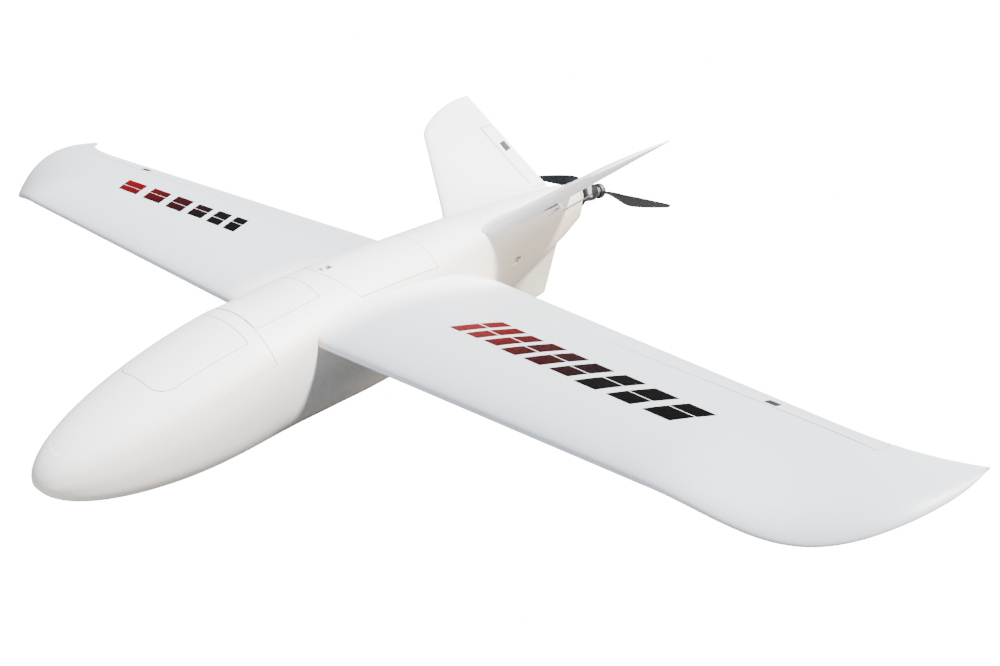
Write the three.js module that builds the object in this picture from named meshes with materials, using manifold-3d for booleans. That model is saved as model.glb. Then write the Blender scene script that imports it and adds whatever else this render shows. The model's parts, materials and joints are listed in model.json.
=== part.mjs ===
// A foam fixed-wing drone: a shoulder wing with raked tips, a V tail, a keel fin and a pusher motor.
// Millimetres, +Z up. The nose points along -Y and the left wing along +X. The part stands on its belly
// and on its keel, so Z = 0 is the ground, and X = 0 is the plane of symmetry.
import * as THREE from "three";
import { mergeVertices } from "three/addons/utils/BufferGeometryUtils.js";
import Module from "manifold-3d";

const wasm = await Module();
wasm.setup();

// ---------------------------------------------------------------- driving dimensions
// Lengths along the airframe are measured from the wing's leading edge on the centre plane (the datum),
// heights from the same point. Each value below can be changed by itself.
const CLEAR = 0.3; // gap left between two pieces that touch
const HINGE_GAP = 1.5; // slot round a control surface
const TUBE_SIDES = 16;
const FAR = 800; // reach of a cut that is open on that side

const fuselage = {
  noseReach: 282, // from the datum forward to the nose
  tailReach: 515, // from the datum back to the motor bulkhead
  belly: 94, // belly below the datum
  noseDrop: 67, // nose tip below the datum
  noseEnd: -58, // where the nose curve meets the body
  wall: 12, // foam wall
  cavityFront: -232,
  cavityRear: 330,
  upperPower: 2.1, // roundness of the upper half of a section
  lowerPower: 2.5, // and of the lower half
  nosePower: 3.3, // of the lower half ahead of the body
};
const wing = {
  halfSpan: 675,
  rootX: 104, // end of the moulded fairing, where the removable panel starts
  rootChord: 306, // on the centre plane
  rootDrop: 18.6, // trailing edge below the leading edge there
  leSweep: -0.063,
  teSweep: -0.288,
  leRise: 0.079,
  teRise: 0.117,
  thickness: 0.115, // of the chord
  camber: 0.025,
  tipStart: 480, // where the leading edge starts to curve back
  flareStart: 540, // where the trailing edge starts to curve back
  flare: 59, // how far the tip corner lies behind the straight trailing edge
  flarePower: 2.8,
  tipChord: 5, // left at the corner
  droop: 27, // of the leading edge at the tip
  tipFall: 16.8, // of the tip corner
  leastThickness: 2.4,
};
// Skin: depth of the hinge line under the upper face. Depth: of the cut, which reaches past the rear.
const aileron = { innerX: 300, outerX: 603, chordShare: 0.165, travel: 25, skin: 0.8, depth: 90 };
const fairing = { innerX: 30, swell: 0.5, longer: 5 }; // thicker and longer towards its inner end
const fin = {
  rootX: 22,
  buried: 14, // length of the root inside the fuselage
  rootZ: 51,
  tipX: 172,
  cant: 35.2, // degrees above level
  incidence: 3, // degrees, leading edge down
  leRoot: 281,
  leShoulder: 357, // leading edge where the tip curve starts
  shoulderX: 138,
  teRoot: 488,
  teTip: 479,
  tipChord: 5,
  thickness: 0.085,
  leastThickness: 2.2,
};
const ruddervator = { innerX: 28, outerX: 123, chord: 28, travel: 25, hingeHeight: 2.6, depth: 60 };
const keel = { front: 318, footFront: 400, footRear: 460, topRear: 492, thickness: 11, sink: 26, heel: 5,
  heelRise: 4, top: -8 };
const motor = {
  height: 38.5, // of the thrust line at the mount, above the datum
  thrustAngle: 6.5, // degrees, falling aft
  bulkhead: 3,
  bulkheadR: 18.5,
  mountR: 20,
  mountDepth: 6,
  boltCircle: 25,
  boltHoleR: 1.7,
  cableHoleR: 4,
  airGap: 1,
  bellR: 12.5,
  bellLength: 40,
  bellWall: 1.6,
  bellEnd: 4, // thickness of the bell's rear wall
  bellChamfer: 3,
  neckR: 7,
  coreR: 10.1,
  coreFront: 5, // from the bell's front edge to the core
  coreRear: 10, // and from the core to the bell's rear face
  shaftR: 2.5,
  flange: 9.7, // length of the propeller adapter
  flangeR: 8,
};
const propeller = {
  radius: 123,
  rest: 3.5, // degrees that the left blade is parked above level
  hubR: 11,
  hubLength: 10,
  nutLength: 9,
  nutR: 6.5,
  nutShoulder: 4,
  nutWall: 1.5,
  pitch: 140,
  rootChord: 8,
  bestChord: 18,
  bestShare: 0.4, // how far out the widest place is
  tipChord: 4.5,
};
const spar = { radius: 6, wall: 1, y: 84, innerX: 8, outerX: 330 };
const pin = { radius: 3, y: 205, innerX: 52, outerX: 160 };
const servo = { length: 23, thick: 12, height: 20, shaftBack: 6, shaftR: 2.4, arm: 16.5, lean: 3 };
// Run: from the servo's shaft aft to the hinge line. Level: depth of the shaft under it.
const linkage = { rodR: 0.9, plate: 1.6, hole: 1.3, side: 1.5, armHalf: 3.2, aileronX: 430, aileronRun: 82,
  aileronLevel: 7.5, tailX: 62, tailRun: 60, tailLevel: 7 };
const hornFoot = { left: -4, right: 6, length: 10, above: 0.9, below: 0.8, edge: 0.5, tailZ: -3.8 };
const hatch = { slot: 0.8, floor: -30, noseY: -172, noseHalf: 40, noseRearHalf: 45, rearOfNose: -73,
  noseRadius: 20, centreHalf: 36, centreRear: 27, rearFront: 53, rearRear: 190, rearHalf: 52, bow: 18,
  smallRadius: 4 };
const latch = { front: 5.5, length: 7.5, half: 4, knobFront: 7, knobLength: 3.5, knobHalf: 2.5, knobRise: 2,
  reach: 14, sink: 0.5, travel: 6 };
const rail = { inner: 22, outer: 34, short: 8, bottom: -90 }; // the tray's two foam rails
const tray = { half: 36, front: -178, rear: 188, thickness: 3, top: -64 };
const battery = { front: -176, length: 138, width: 44, height: 34, strapWidth: 20, strap: 1.5 };
// The plywood frame that holds the spars, with a window for cables.
const sparFrame = { half: 48, depth: 22, top: 19, windowHalf: 30, sill: 12, windowTop: -18 };

// Places that follow from the sizes above.
const bulkheadY = fuselage.tailReach + CLEAR;
const mountY = bulkheadY + motor.bulkhead + CLEAR;
const bellY = mountY + motor.mountDepth + motor.airGap;
const adapterY = bellY + motor.bellLength + CLEAR;
const propY = adapterY + motor.flange + CLEAR;
const nutY = propY + propeller.hubLength + CLEAR;
const thrustTilt = THREE.MathUtils.degToRad(motor.thrustAngle);
const overallRear = mountY + (nutY + propeller.nutLength - mountY) * Math.cos(thrustTilt);
const datumY = (fuselage.noseReach - overallRear) / 2;
const datumZ = fuselage.belly;

// ---------------------------------------------------------------- finishes
const finish = (color, roughness, metalness = 0) =>
  new THREE.MeshStandardMaterial({ color, roughness, metalness });
const foam = finish(0xe9ecef, 0.62);
const blackPlastic = finish(0x1b1c1e, 0.45);
const greyPlastic = finish(0x35373a, 0.4);
const aluminium = finish(0xb9bcc0, 0.3, 0.9);
const steel = finish(0x9a9ca0, 0.3, 1);
const carbon = finish(0x151617, 0.35);
const plywood = finish(0xc9a877, 0.7);
const webbing = finish(0x2a2b2e, 0.85);
const wrap = finish(0x2f4f86, 0.35);
const board = finish(0x23384a, 0.5);
const whitePlastic = finish(0xd8d6d2, 0.4);

// ---------------------------------------------------------------- solids
// A closed geometry, with its shared vertices merged, as a solid that can be joined and cut.
function solid(geometry, place) {
  const bare = geometry.clone();
  if (place) bare.applyMatrix4(place);
  bare.deleteAttribute("normal");
  bare.deleteAttribute("uv");
  const merged = mergeVertices(bare, 1e-4);
  return new wasm.Manifold(
    new wasm.Mesh({
      numProp: 3,
      vertProperties: merged.attributes.position.array,
      triVerts: new Uint32Array(merged.index.array),
    }),
  );
}

function geometryOf(body) {
  const mesh = body.getMesh();
  const geometry = new THREE.BufferGeometry();
  const positions = new Float32Array(mesh.numVert * 3);
  for (let i = 0; i < mesh.numVert; i++) {
    positions.set(mesh.vertProperties.subarray(i * mesh.numProp, i * mesh.numProp + 3), i * 3);
  }
  geometry.setAttribute("position", new THREE.BufferAttribute(positions, 3));
  geometry.setIndex(new THREE.BufferAttribute(new Uint32Array(mesh.triVerts), 1));
  geometry.computeVertexNormals();
  return geometry;
}

function piece(name, body, material) {
  const mesh = new THREE.Mesh(geometryOf(body), material);
  mesh.name = name;
  return mesh;
}

// A skin through rings of equally many points, closed with a fan at each end.
function loft(rings) {
  const count = rings[0].length;
  const points = rings.flat();
  const index = [];
  for (let r = 0; r + 1 < rings.length; r++) {
    for (let i = 0; i < count; i++) {
      const a = r * count + i;
      const b = r * count + ((i + 1) % count);
      index.push(a, b, a + count, b, b + count, a + count);
    }
  }
  for (const [ring, flip] of [[0, true], [rings.length - 1, false]]) {
    const centre = new THREE.Vector3();
    rings[ring].forEach((p) => centre.addScaledVector(p, 1 / count));
    points.push(centre);
    for (let i = 0; i < count; i++) {
      const a = ring * count + i;
      const b = ring * count + ((i + 1) % count);
      index.push(...(flip ? [b, a, points.length - 1] : [a, b, points.length - 1]));
    }
  }
  const geometry = new THREE.BufferGeometry().setFromPoints(points);
  geometry.setIndex(index);
  const made = solid(geometry);
  if (made.volume() >= 0) return made;
  for (let i = 0; i < index.length; i += 3) [index[i], index[i + 1]] = [index[i + 1], index[i]];
  geometry.setIndex(index);
  return solid(geometry);
}

function block(low, high, place) {
  const size = [0, 1, 2].map((k) => high[k] - low[k]);
  const geometry = new THREE.BoxGeometry(...size);
  geometry.translate(...[0, 1, 2].map((k) => (low[k] + high[k]) / 2));
  return solid(geometry, place);
}

// A round bar between two points.
function bar(from, to, radius, sides = TUBE_SIDES, place) {
  const start = new THREE.Vector3(...from);
  const run = new THREE.Vector3(...to).sub(start);
  const geometry = new THREE.CylinderGeometry(radius, radius, run.length(), sides);
  geometry.translate(0, run.length() / 2, 0);
  geometry.applyQuaternion(
    new THREE.Quaternion().setFromUnitVectors(new THREE.Vector3(0, 1, 0), run.clone().normalize()),
  );
  geometry.translate(...from);
  return solid(geometry, place);
}

// A turned shape about an axis along Y: [radius, y] points, starting and ending on the axis.
function turned(profile, height, sides = 28) {
  const points = profile.map(([r, y]) => new THREE.Vector2(r, y));
  return solid(new THREE.LatheGeometry(points, sides).translate(0, 0, height));
}

// An outline in the XY plane, pulled up from one height to another.
function prism(outline, low, high) {
  const shape = new THREE.Shape(outline.map(([x, y]) => new THREE.Vector2(x, y)));
  const geometry = new THREE.ExtrudeGeometry(shape, { depth: high - low, bevelEnabled: false });
  geometry.translate(0, 0, low);
  return solid(geometry);
}

// An outline in the YZ plane, as thick as from one x to another.
function plate(outline, fromX, toX, place) {
  const shape = new THREE.Shape(outline.map(([y, z]) => new THREE.Vector2(y, z)));
  const geometry = new THREE.ExtrudeGeometry(shape, { depth: toX - fromX, bevelEnabled: false });
  geometry.translate(0, 0, fromX);
  geometry.applyMatrix4(new THREE.Matrix4().makeBasis(
    new THREE.Vector3(0, 1, 0), new THREE.Vector3(0, 0, 1), new THREE.Vector3(1, 0, 0)));
  return solid(geometry, place);
}

const clamp01 = (t) => Math.min(1, Math.max(0, t));
const range = (count) => Array.from({ length: count }, (_, i) => i);

// ---------------------------------------------------------------- fuselage
// Stations aft of the nose curve: y, top, bottom, half width and the height of the widest place.
const stations = [
  [fuselage.noseEnd, 37, -fuselage.belly - 2, 79.5, -36],
  [20, 48, -fuselage.belly - 2, 77, -33],
  [90, 54, -fuselage.belly - 2, 74, -28],
  [190, 57, -89, 69, -18],
  [280, 61, -69, 56, -8],
  [380, 62, -45, 42, 6],
  [fuselage.tailReach - 37, 60, -17, 24, 18],
  [fuselage.tailReach, 54, 1, 19.5, 28],
];

// The section at one place along the fuselage: a curve through the stations, and a blunt curve at the nose.
function section(y) {
  if (y < fuselage.noseEnd) {
    const [, top, bottom, half, waist] = stations[0];
    const t = clamp01((y + fuselage.noseReach) / (fuselage.noseEnd + fuselage.noseReach));
    const blunt = (share, a, b) => share * (1 - (1 - t) ** a) ** (1 / b);
    const tip = -fuselage.noseDrop;
    return {
      top: tip + blunt(top - tip, 1.15, 1.65),
      bottom: tip + blunt(bottom - tip, 3, 2),
      half: blunt(half, 2.4, 2.1),
      waist: tip + (waist - tip) * t,
    };
  }
  let k = 0;
  while (k < stations.length - 2 && y > stations[k + 1][0]) k++;
  const at = (i) => stations[Math.min(stations.length - 1, Math.max(0, i))];
  const [p0, p1, p2, p3] = [at(k - 1), at(k), at(k + 1), at(k + 2)];
  const t = clamp01((y - p1[0]) / (p2[0] - p1[0]));
  const span = p2[0] - p1[0];
  const slope = (a, b, c) => (b[0] === a[0] ? 0 : (b[c] - a[c]) / (b[0] - a[0]));
  const value = (c) => {
    const m1 = k === 0 ? slope(p1, p2, c) * 0.5 : slope(p0, p2, c);
    const m2 = p3 === p2 ? slope(p1, p2, c) : slope(p1, p3, c);
    return (2 * t ** 3 - 3 * t ** 2 + 1) * p1[c] + (t ** 3 - 2 * t ** 2 + t) * span * m1
      + (3 * t ** 2 - 2 * t ** 3) * p2[c] + (t ** 3 - t ** 2) * span * m2;
  };
  return { top: value(1), bottom: value(2), half: value(3), waist: value(4) };
}

function ring(y, inset, count) {
  const { top, bottom, half, waist } = section(y);
  const ahead = THREE.MathUtils.smoothstep(-y, -fuselage.noseEnd - 40, -fuselage.noseEnd + 120);
  const lower = THREE.MathUtils.lerp(fuselage.lowerPower, fuselage.nosePower, ahead);
  return range(count).map((i) => {
    const angle = (i / count) * 2 * Math.PI + Math.PI / 2;
    const [c, s] = [Math.cos(angle), Math.sin(angle)];
    const power = 2 / (s >= 0 ? fuselage.upperPower : lower);
    const reach = Math.max(half - inset, 1);
    const x = reach * Math.sign(c) * Math.abs(c) ** power;
    const tall = s >= 0 ? Math.max(top - inset - waist, 1) : Math.max(waist - bottom - inset, 1);
    const z = waist + tall * Math.sign(s) * Math.abs(s) ** power;
    return new THREE.Vector3(x, y, Math.max(z, -fuselage.belly + inset));
  });
}

// Places of the rings: close together at the nose, then even.
function fuselageSkin(inset, from, to, noseRings, bodyRings, count) {
  const nose = range(noseRings).map((i) =>
    fuselage.noseEnd + (from - fuselage.noseEnd) * Math.cos(((i / noseRings) * Math.PI) / 2));
  const body = range(bodyRings + 1).map((i) => fuselage.noseEnd + ((to - fuselage.noseEnd) * i) / bodyRings);
  return loft([...nose, ...body].map((y) => ring(y, inset, count)));
}

const outerSkin = fuselageSkin(0, -fuselage.noseReach, fuselage.tailReach, 10, 20, 40);
const cavity = fuselageSkin(fuselage.wall, fuselage.cavityFront, fuselage.cavityRear, 5, 10, 24);
const bay = fuselageSkin(fuselage.wall + CLEAR, fuselage.cavityFront, fuselage.cavityRear, 5, 10, 24);

// ---------------------------------------------------------------- wing
// Leading and trailing edge at a distance x from the centre plane.
function wingEdges(x) {
  const tip = clamp01((x - wing.tipStart) / (wing.halfSpan - wing.tipStart));
  const flare = clamp01((x - wing.flareStart) / (wing.halfSpan - wing.flareStart));
  const cornerY = wing.rootChord + wing.teSweep * wing.halfSpan + wing.flare;
  const leY = wing.leSweep * Math.min(x, wing.tipStart);
  const curl = 1 - (1 - tip ** 1.9) ** (1 / 2.4);
  const teY = wing.rootChord + wing.teSweep * x + wing.flare * flare ** wing.flarePower;
  return {
    leY: leY + (cornerY - wing.tipChord - leY) * curl,
    leZ: wing.leRise * x - wing.tipFall * 0.4 * flare ** 2.6,
    teY,
    teZ: wing.teRise * x - wing.rootDrop - wing.tipFall * flare ** 2.6,
    dip: wing.droop * Math.max(Math.sin(Math.PI * tip ** 1.4), 0) ** 1.3,
  };
}

// Thickness and camber of the section at a share of the chord.
const halfThickness = (t) =>
  5 * (0.2969 * Math.sqrt(t) - 0.126 * t - 0.3516 * t ** 2 + 0.2843 * t ** 3 - 0.1036 * t ** 4);
const camberLine = (t) => (t < 0.4 ? (0.8 * t - t * t) / 0.16 : (0.2 + 0.8 * t - t * t) / 0.36);

// How far a drooped leading edge pulls the section down at a share of the chord. The rear stays straight, so
// that a straight hinge line fits.
const droopAt = (dip, t) => dip * (1 - t) ** 2;

// A closed section from the trailing edge over the top to the leading edge and back underneath.
function aerofoil(le, te, { thickness, camber = 0, leastThickness, dip = 0 }, up, count = 11) {
  const chord = te.clone().sub(le);
  const length = chord.length();
  const share = (i) => (1 - Math.cos((i / count) * Math.PI)) / 2;
  const point = (t, side) => {
    const thick = Math.max(halfThickness(t) * thickness * length, t > 0.3 ? leastThickness / 2 : 0);
    const rise = camberLine(t) * camber * length + side * thick - droopAt(dip, t);
    return le.clone().addScaledVector(chord, t).addScaledVector(up, rise);
  };
  const upper = range(count).map((i) => point(share(count - i), 1));
  const lower = range(count).map((i) => point(share(i + 1), -1));
  return [...upper, point(0, 1), ...lower];
}

function wingSection(x, fatter = 1, longer = 0) {
  const { leY, leZ, teY, teZ, dip } = wingEdges(x);
  return aerofoil(new THREE.Vector3(x, leY - longer, leZ), new THREE.Vector3(x, teY + longer, teZ),
    { ...wing, thickness: wing.thickness * fatter, dip }, new THREE.Vector3(0, 0, 1));
}

// Places from the start of a curved tip to its end, closer and closer together.
const tipStops = (start, end, count) =>
  range(count + 1).map((i) => start + (end - start) * Math.sin(((i / count) * Math.PI) / 2));

function wingPanel() {
  const inner = wing.rootX + CLEAR;
  const straight = range(4).map((i) => THREE.MathUtils.lerp(inner, wing.tipStart, i / 4));
  return loft([...straight, ...tipStops(wing.tipStart, wing.halfSpan, 12)].map((x) => wingSection(x)));
}

// The moulded fairing swells towards the fuselage.
function wingFairing() {
  const steps = 5;
  return loft(range(steps + 1).map((i) => {
    const inward = (1 - i / steps) ** 2;
    const x = THREE.MathUtils.lerp(fairing.innerX, wing.rootX, i / steps);
    return wingSection(x, 1 + fairing.swell * inward, fairing.longer * inward);
  }));
}

const moved = (body, place) => solid(geometryOf(body), place);
const joined = (first, ...others) => others.reduce((all, next) => all.add(next), first);
const cut = (body, ...tools) => tools.reduce((left, tool) => left.subtract(tool), body);

// A point on the wing at a share of the chord: on the mean line, or a height above it.
function onWing(x, share, side = 0) {
  const { leY, leZ, teY, teZ, dip } = wingEdges(x);
  const chord = Math.hypot(teY - leY, teZ - leZ);
  const thick = halfThickness(share) * wing.thickness * chord;
  const rise = camberLine(share) * wing.camber * chord + side * thick - droopAt(dip, share);
  return new THREE.Vector3(x, leY + (teY - leY) * share, leZ + (teZ - leZ) * share + rise);
}

// The mean line of the wing at a place given along the airframe.
function wingAt(x, y) {
  const { leY, teY } = wingEdges(x);
  return onWing(x, (y - leY) / (teY - leY));
}

// A hinge's own frame: X along the hinge and outboard, Y aft, Z up out of the surface.
function hingeFrame(inner, outer, up) {
  const along = outer.clone().sub(inner).normalize();
  const aft = up.clone().cross(along).normalize();
  const place = new THREE.Matrix4().makeBasis(along, aft, along.clone().cross(aft));
  return place.setPosition(inner);
}

// How far the moving surface's front slopes back per unit away from the hinge line.
const slopeBack = (travel) => Math.tan(THREE.MathUtils.degToRad(travel + 3));

// The slot cut in the fixed surface, and the wedge that is kept as the moving one. The wedge's front lies
// along the hinge and slopes back above and below it, so that it clears the fixed surface at full travel.
function hingeCutters(place, length, { travel, depth }) {
  const tall = 40;
  const back = 0.5 + tall * slopeBack(travel);
  const slot = block([-HINGE_GAP, -0.5, -tall], [length + HINGE_GAP, depth, tall], place);
  const wedge = plate([[back, tall], [0.5, 0], [back, -tall], [depth, -tall], [depth, tall]], 0, length, place);
  return { slot, wedge };
}

// ---------------------------------------------------------------- control linkage
// A servo lies on its side in a pocket, so its arm swings in the plane of the horn. Arm and horn are
// equally long and parallel, so the rod between them only shifts and never turns.
function linkageParts(run, level, tag, hinge) {
  const pivot = [-run, -level];
  const reach = Math.hypot(servo.arm, servo.lean);
  const front = pivot[0] - servo.length + servo.shaftBack;
  const servoBody = joined(
    block([-servo.height - 1, front, pivot[1] - servo.thick / 2],
      [-1, front + servo.length, pivot[1] + servo.thick / 2]),
    bar([-1.4, ...pivot], [-CLEAR, ...pivot], servo.shaftR, 12),
  );
  const tipOfArm = [pivot[0] + servo.lean, pivot[1] - servo.arm];
  const hornHole = [servo.lean, -servo.arm];
  const strip = ([y0, z0], [y1, z1], half) => {
    const [dy, dz] = [(y1 - y0) / reach, (z1 - z0) / reach];
    return [[y0 - dz * half - dy * half, z0 + dy * half - dz * half],
      [y1 - dz * half * 0.6 + dy * half, z1 + dy * half * 0.6 + dz * half],
      [y1 + dz * half * 0.6 + dy * half, z1 - dy * half * 0.6 + dz * half],
      [y0 + dz * half - dy * half, z0 - dy * half - dz * half]];
  };
  const hole = ([y, z]) => bar([-4, y, z], [8, y, z], linkage.hole, 12);
  const arm = cut(plate(strip(pivot, tipOfArm, linkage.armHalf), 0, linkage.plate), hole(tipOfArm));
  const rodX = linkage.plate + linkage.side;
  const hook = (at) => bar([-1.2, ...at], [rodX + linkage.rodR * 0.9, ...at], linkage.rodR, 10);
  const rod = joined(
    bar([rodX, ...tipOfArm], [rodX, ...hornHole], linkage.rodR, 10), hook(tipOfArm), hook(hornHole));
  const armGroup = new THREE.Group();
  armGroup.name = `servo_arm_${tag}_axis`;
  armGroup.position.set(0, ...pivot);
  const rodGroup = new THREE.Group();
  rodGroup.name = `pushrod_${tag}_axis`;
  rodGroup.position.set(0, servo.lean, -servo.arm);
  const armMesh = piece(`servo_arm_${tag}_left`, arm, whitePlastic);
  armMesh.position.set(0, -pivot[0], -pivot[1]);
  const rodMesh = piece(`pushrod_${tag}_left`, rod, steel);
  rodMesh.position.set(0, -tipOfArm[0], -tipOfArm[1]);
  rodGroup.add(rodMesh);
  armGroup.add(armMesh, rodGroup);
  hinge.add(piece(`servo_${tag}_left`, servoBody, blackPlastic), armGroup);
  return { front, level: pivot[1], hornHole, hole: hole(hornHole) };
}

// The pocket for the servo and the bay beside it for the arm, open through the lower face.
function servoPocket({ front, level }, place) {
  const gap = CLEAR + 0.2;
  const rear = front + servo.length + gap;
  const top = level + servo.thick / 2 + gap;
  return joined(
    block([-servo.height - 1 - gap, front - gap, -60], [0, rear, top], place),
    block([-0.5, rear - 2 * servo.shaftBack - 5, -60], [linkage.plate + 4, rear + 8, top - 1], place),
  );
}

// The control horn stands on a foot let into the lower face of the moving surface.
function controlHorn({ hornHole: [y, z], hole }, footZ, front) {
  const { left, right, length, above, below, edge } = hornFoot;
  const rear = front + length;
  const web = plate([[front + edge, footZ], [rear - 1, footZ], [y + 3, z + 1], [y + 2, z - 2.6],
    [y - 2, z - 2.6], [y - 3, z]], 0, linkage.plate);
  return joined(block([left, front, footZ - below], [right, rear, footZ + above]), cut(web, hole));
}

function hornSocket(footZ, front, place) {
  const { left, right, length, above } = hornFoot;
  return block([left - CLEAR, front - CLEAR, -40],
    [right + CLEAR, front + length + CLEAR, footZ + above + CLEAR], place);
}

// Cuts a control surface out of a panel and adds the servo, arm, rod and horn that move it.
function addControlSurface({ panel, holes, names, place, length, surface, linkX, run, level, footZ }) {
  const { slot, wedge } = hingeCutters(place, length, surface);
  const hinge = new THREE.Group();
  hinge.name = `${names.surface}_hinge`;
  hinge.applyMatrix4(place);
  const link = new THREE.Group();
  link.position.set(linkX, 0, 0);
  hinge.add(link);
  const linkPlace = place.clone().multiply(new THREE.Matrix4().makeTranslation(linkX, 0, 0));
  const parts = linkageParts(run, level, names.tag, link);
  left.add(piece(`${names.panel}_left`, cut(panel, slot, ...holes, servoPocket(parts, linkPlace)), foam));
  const hornFront = 0.5 + (hornFoot.below - footZ) * slopeBack(surface.travel);
  const moving = cut(panel.intersect(wedge), hornSocket(footZ, hornFront, linkPlace));
  const flap = piece(`${names.surface}_left`, moving, foam);
  flap.applyMatrix4(place.clone().invert());
  hinge.add(flap);
  link.add(piece(`control_horn_${names.tag}_left`, controlHorn(parts, footZ, hornFront), whitePlastic));
  left.add(hinge);
}

// ---------------------------------------------------------------- left wing and aileron
const left = new THREE.Group();
const tailSkin = fuselageSkin(-CLEAR, -fuselage.noseReach, fuselage.tailReach, 10, 20, 40);

function buildWing() {
  const share = 1 - aileron.chordShare;
  const up = new THREE.Vector3(0, 0, 1);
  const [inner, outer] = [aileron.innerX, aileron.outerX].map((x) =>
    onWing(x, share, 1).addScaledVector(up, -aileron.skin));
  const place = hingeFrame(inner, outer, up);
  const foot = onWing(linkage.aileronX, share + 0.04, -1).applyMatrix4(place.clone().invert());
  addControlSurface({
    panel: wingPanel(),
    holes: [sparTube(spar.radius + CLEAR), rearPin(pin.radius + CLEAR)],
    names: { panel: "wing", surface: "aileron", tag: "aileron" },
    place,
    length: inner.distanceTo(outer),
    surface: aileron,
    linkX: linkage.aileronX - aileron.innerX,
    run: linkage.aileronRun,
    level: linkage.aileronLevel,
    footZ: foot.z,
  });
}

function sparTube(radius) {
  const at = (x) => wingAt(x, spar.y).toArray();
  return bar(at(spar.innerX), at(spar.outerX), radius);
}

function rearPin(radius) {
  const at = (x) => wingAt(x, pin.y).toArray();
  return bar(at(pin.innerX), at(pin.outerX), radius, 12);
}

buildWing();
left.add(piece("main_spar_left", cut(sparTube(spar.radius), sparTube(spar.radius - spar.wall)), carbon));
left.add(piece("rear_pin_left", rearPin(pin.radius), carbon));

// ---------------------------------------------------------------- left tail fin and ruddervator
const cant = THREE.MathUtils.degToRad(fin.cant);
const finUp = new THREE.Vector3(-Math.sin(cant), 0, Math.cos(cant));

function finEdges(x) {
  const line = fin.leRoot + ((fin.leShoulder - fin.leRoot) * (x - fin.rootX)) / (fin.shoulderX - fin.rootX);
  const tip = clamp01((x - fin.shoulderX) / (fin.tipX - fin.shoulderX));
  const z = fin.rootZ + Math.tan(cant) * (x - fin.rootX);
  const teY = fin.teRoot + ((fin.teTip - fin.teRoot) * (x - fin.rootX)) / (fin.tipX - fin.rootX);
  const leY = line + (teY - fin.tipChord - line) * (1 - (1 - tip ** 1.6) ** 0.5);
  const drop = (teY - leY) * Math.tan(THREE.MathUtils.degToRad(fin.incidence));
  return { le: new THREE.Vector3(x, leY, z - drop), te: new THREE.Vector3(x, teY, z) };
}

function finSection(x) {
  const { le, te } = finEdges(x);
  return aerofoil(le, te, fin, finUp, 9);
}

function buildFin() {
  const inboard = range(3).map((i) => THREE.MathUtils.lerp(fin.rootX, fin.shoulderX, i / 3));
  const stops = [fin.rootX - fin.buried, ...inboard, ...tipStops(fin.shoulderX, fin.tipX, 7)];
  const [inner, outer] = [ruddervator.innerX, ruddervator.outerX].map((x) => {
    const { le, te } = finEdges(x);
    const share = ruddervator.chord / te.distanceTo(le);
    return te.lerp(le, share).addScaledVector(finUp, ruddervator.hingeHeight);
  });
  addControlSurface({
    panel: cut(loft(stops.map(finSection)), tailSkin),
    holes: [],
    names: { panel: "tail_fin", surface: "ruddervator", tag: "tail" },
    place: hingeFrame(inner, outer, finUp),
    length: inner.distanceTo(outer),
    surface: ruddervator,
    linkX: (linkage.tailX - ruddervator.innerX) / Math.cos(cant),
    run: linkage.tailRun,
    level: linkage.tailLevel,
    footZ: hornFoot.tailZ,
  });
}

buildFin();

// ---------------------------------------------------------------- fuselage pieces
// A hatch outline with rounded corners, which may widen towards the rear.
function roundedOutline([frontHalf, rearHalf], [front, rear], [frontRadius, rearRadius], grow) {
  const corner = (half, edge, radius, side, start) => range(6).map((i) => {
    const angle = start + (i / 5) * (Math.PI / 2);
    const inward = edge === front ? radius : -radius;
    return [side * (half - radius) + (radius + grow) * Math.cos(angle),
      edge + inward + (radius + grow) * Math.sin(angle)];
  });
  return [
    ...corner(frontHalf, front, frontRadius, 1, -Math.PI / 2),
    ...corner(rearHalf, rear, rearRadius, 1, 0),
    ...corner(rearHalf, rear, rearRadius, -1, Math.PI / 2),
    ...corner(frontHalf, front, frontRadius, -1, Math.PI),
  ];
}

// The rear hatch's front edge is bowed forward.
function bowedOutline(half, front, rear, bow, grow) {
  const edge = range(9).map((i) => {
    const x = -(half + grow) + (2 * (half + grow) * i) / 8;
    return [x, front - grow + bow * (x / half) ** 2];
  });
  return [...edge, [half + grow, rear + grow], [-half - grow, rear + grow]];
}

const wingSides = (body) => joined(body, wingFairing(), mirrored(wingFairing()));

function mirrored(body) {
  const geometry = geometryOf(body);
  const flipped = geometry.clone().applyMatrix4(new THREE.Matrix4().makeScale(-1, 1, 1));
  const index = Array.from(geometry.index.array);
  for (let i = 0; i < index.length; i += 3) [index[i], index[i + 1]] = [index[i + 1], index[i]];
  flipped.setIndex(index);
  return solid(flipped);
}

// The line where the nose cover meets the lower nose, falling to the nose tip.
const coverSide = [[fuselage.noseEnd, 2], [-fuselage.noseReach - 8, -fuselage.noseDrop + 22]];
function coverRegion(grow) {
  const [[rearY, rearZ], [frontY, frontZ]] = coverSide;
  return plate([[rearY + grow, FAR], [rearY + grow, rearZ - grow], [frontY, frontZ - grow], [frontY, FAR]],
    -FAR, FAR);
}

function keelSolid() {
  const outline = [[keel.front, -fuselage.belly + keel.sink], [keel.footFront, -fuselage.belly],
    [keel.footRear, -fuselage.belly], [keel.footRear + keel.heel, -fuselage.belly + keel.heelRise],
    [keel.topRear, keel.top], [keel.front, keel.top]];
  return cut(plate(outline, -keel.thickness / 2, keel.thickness / 2), tailSkin);
}

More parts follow.
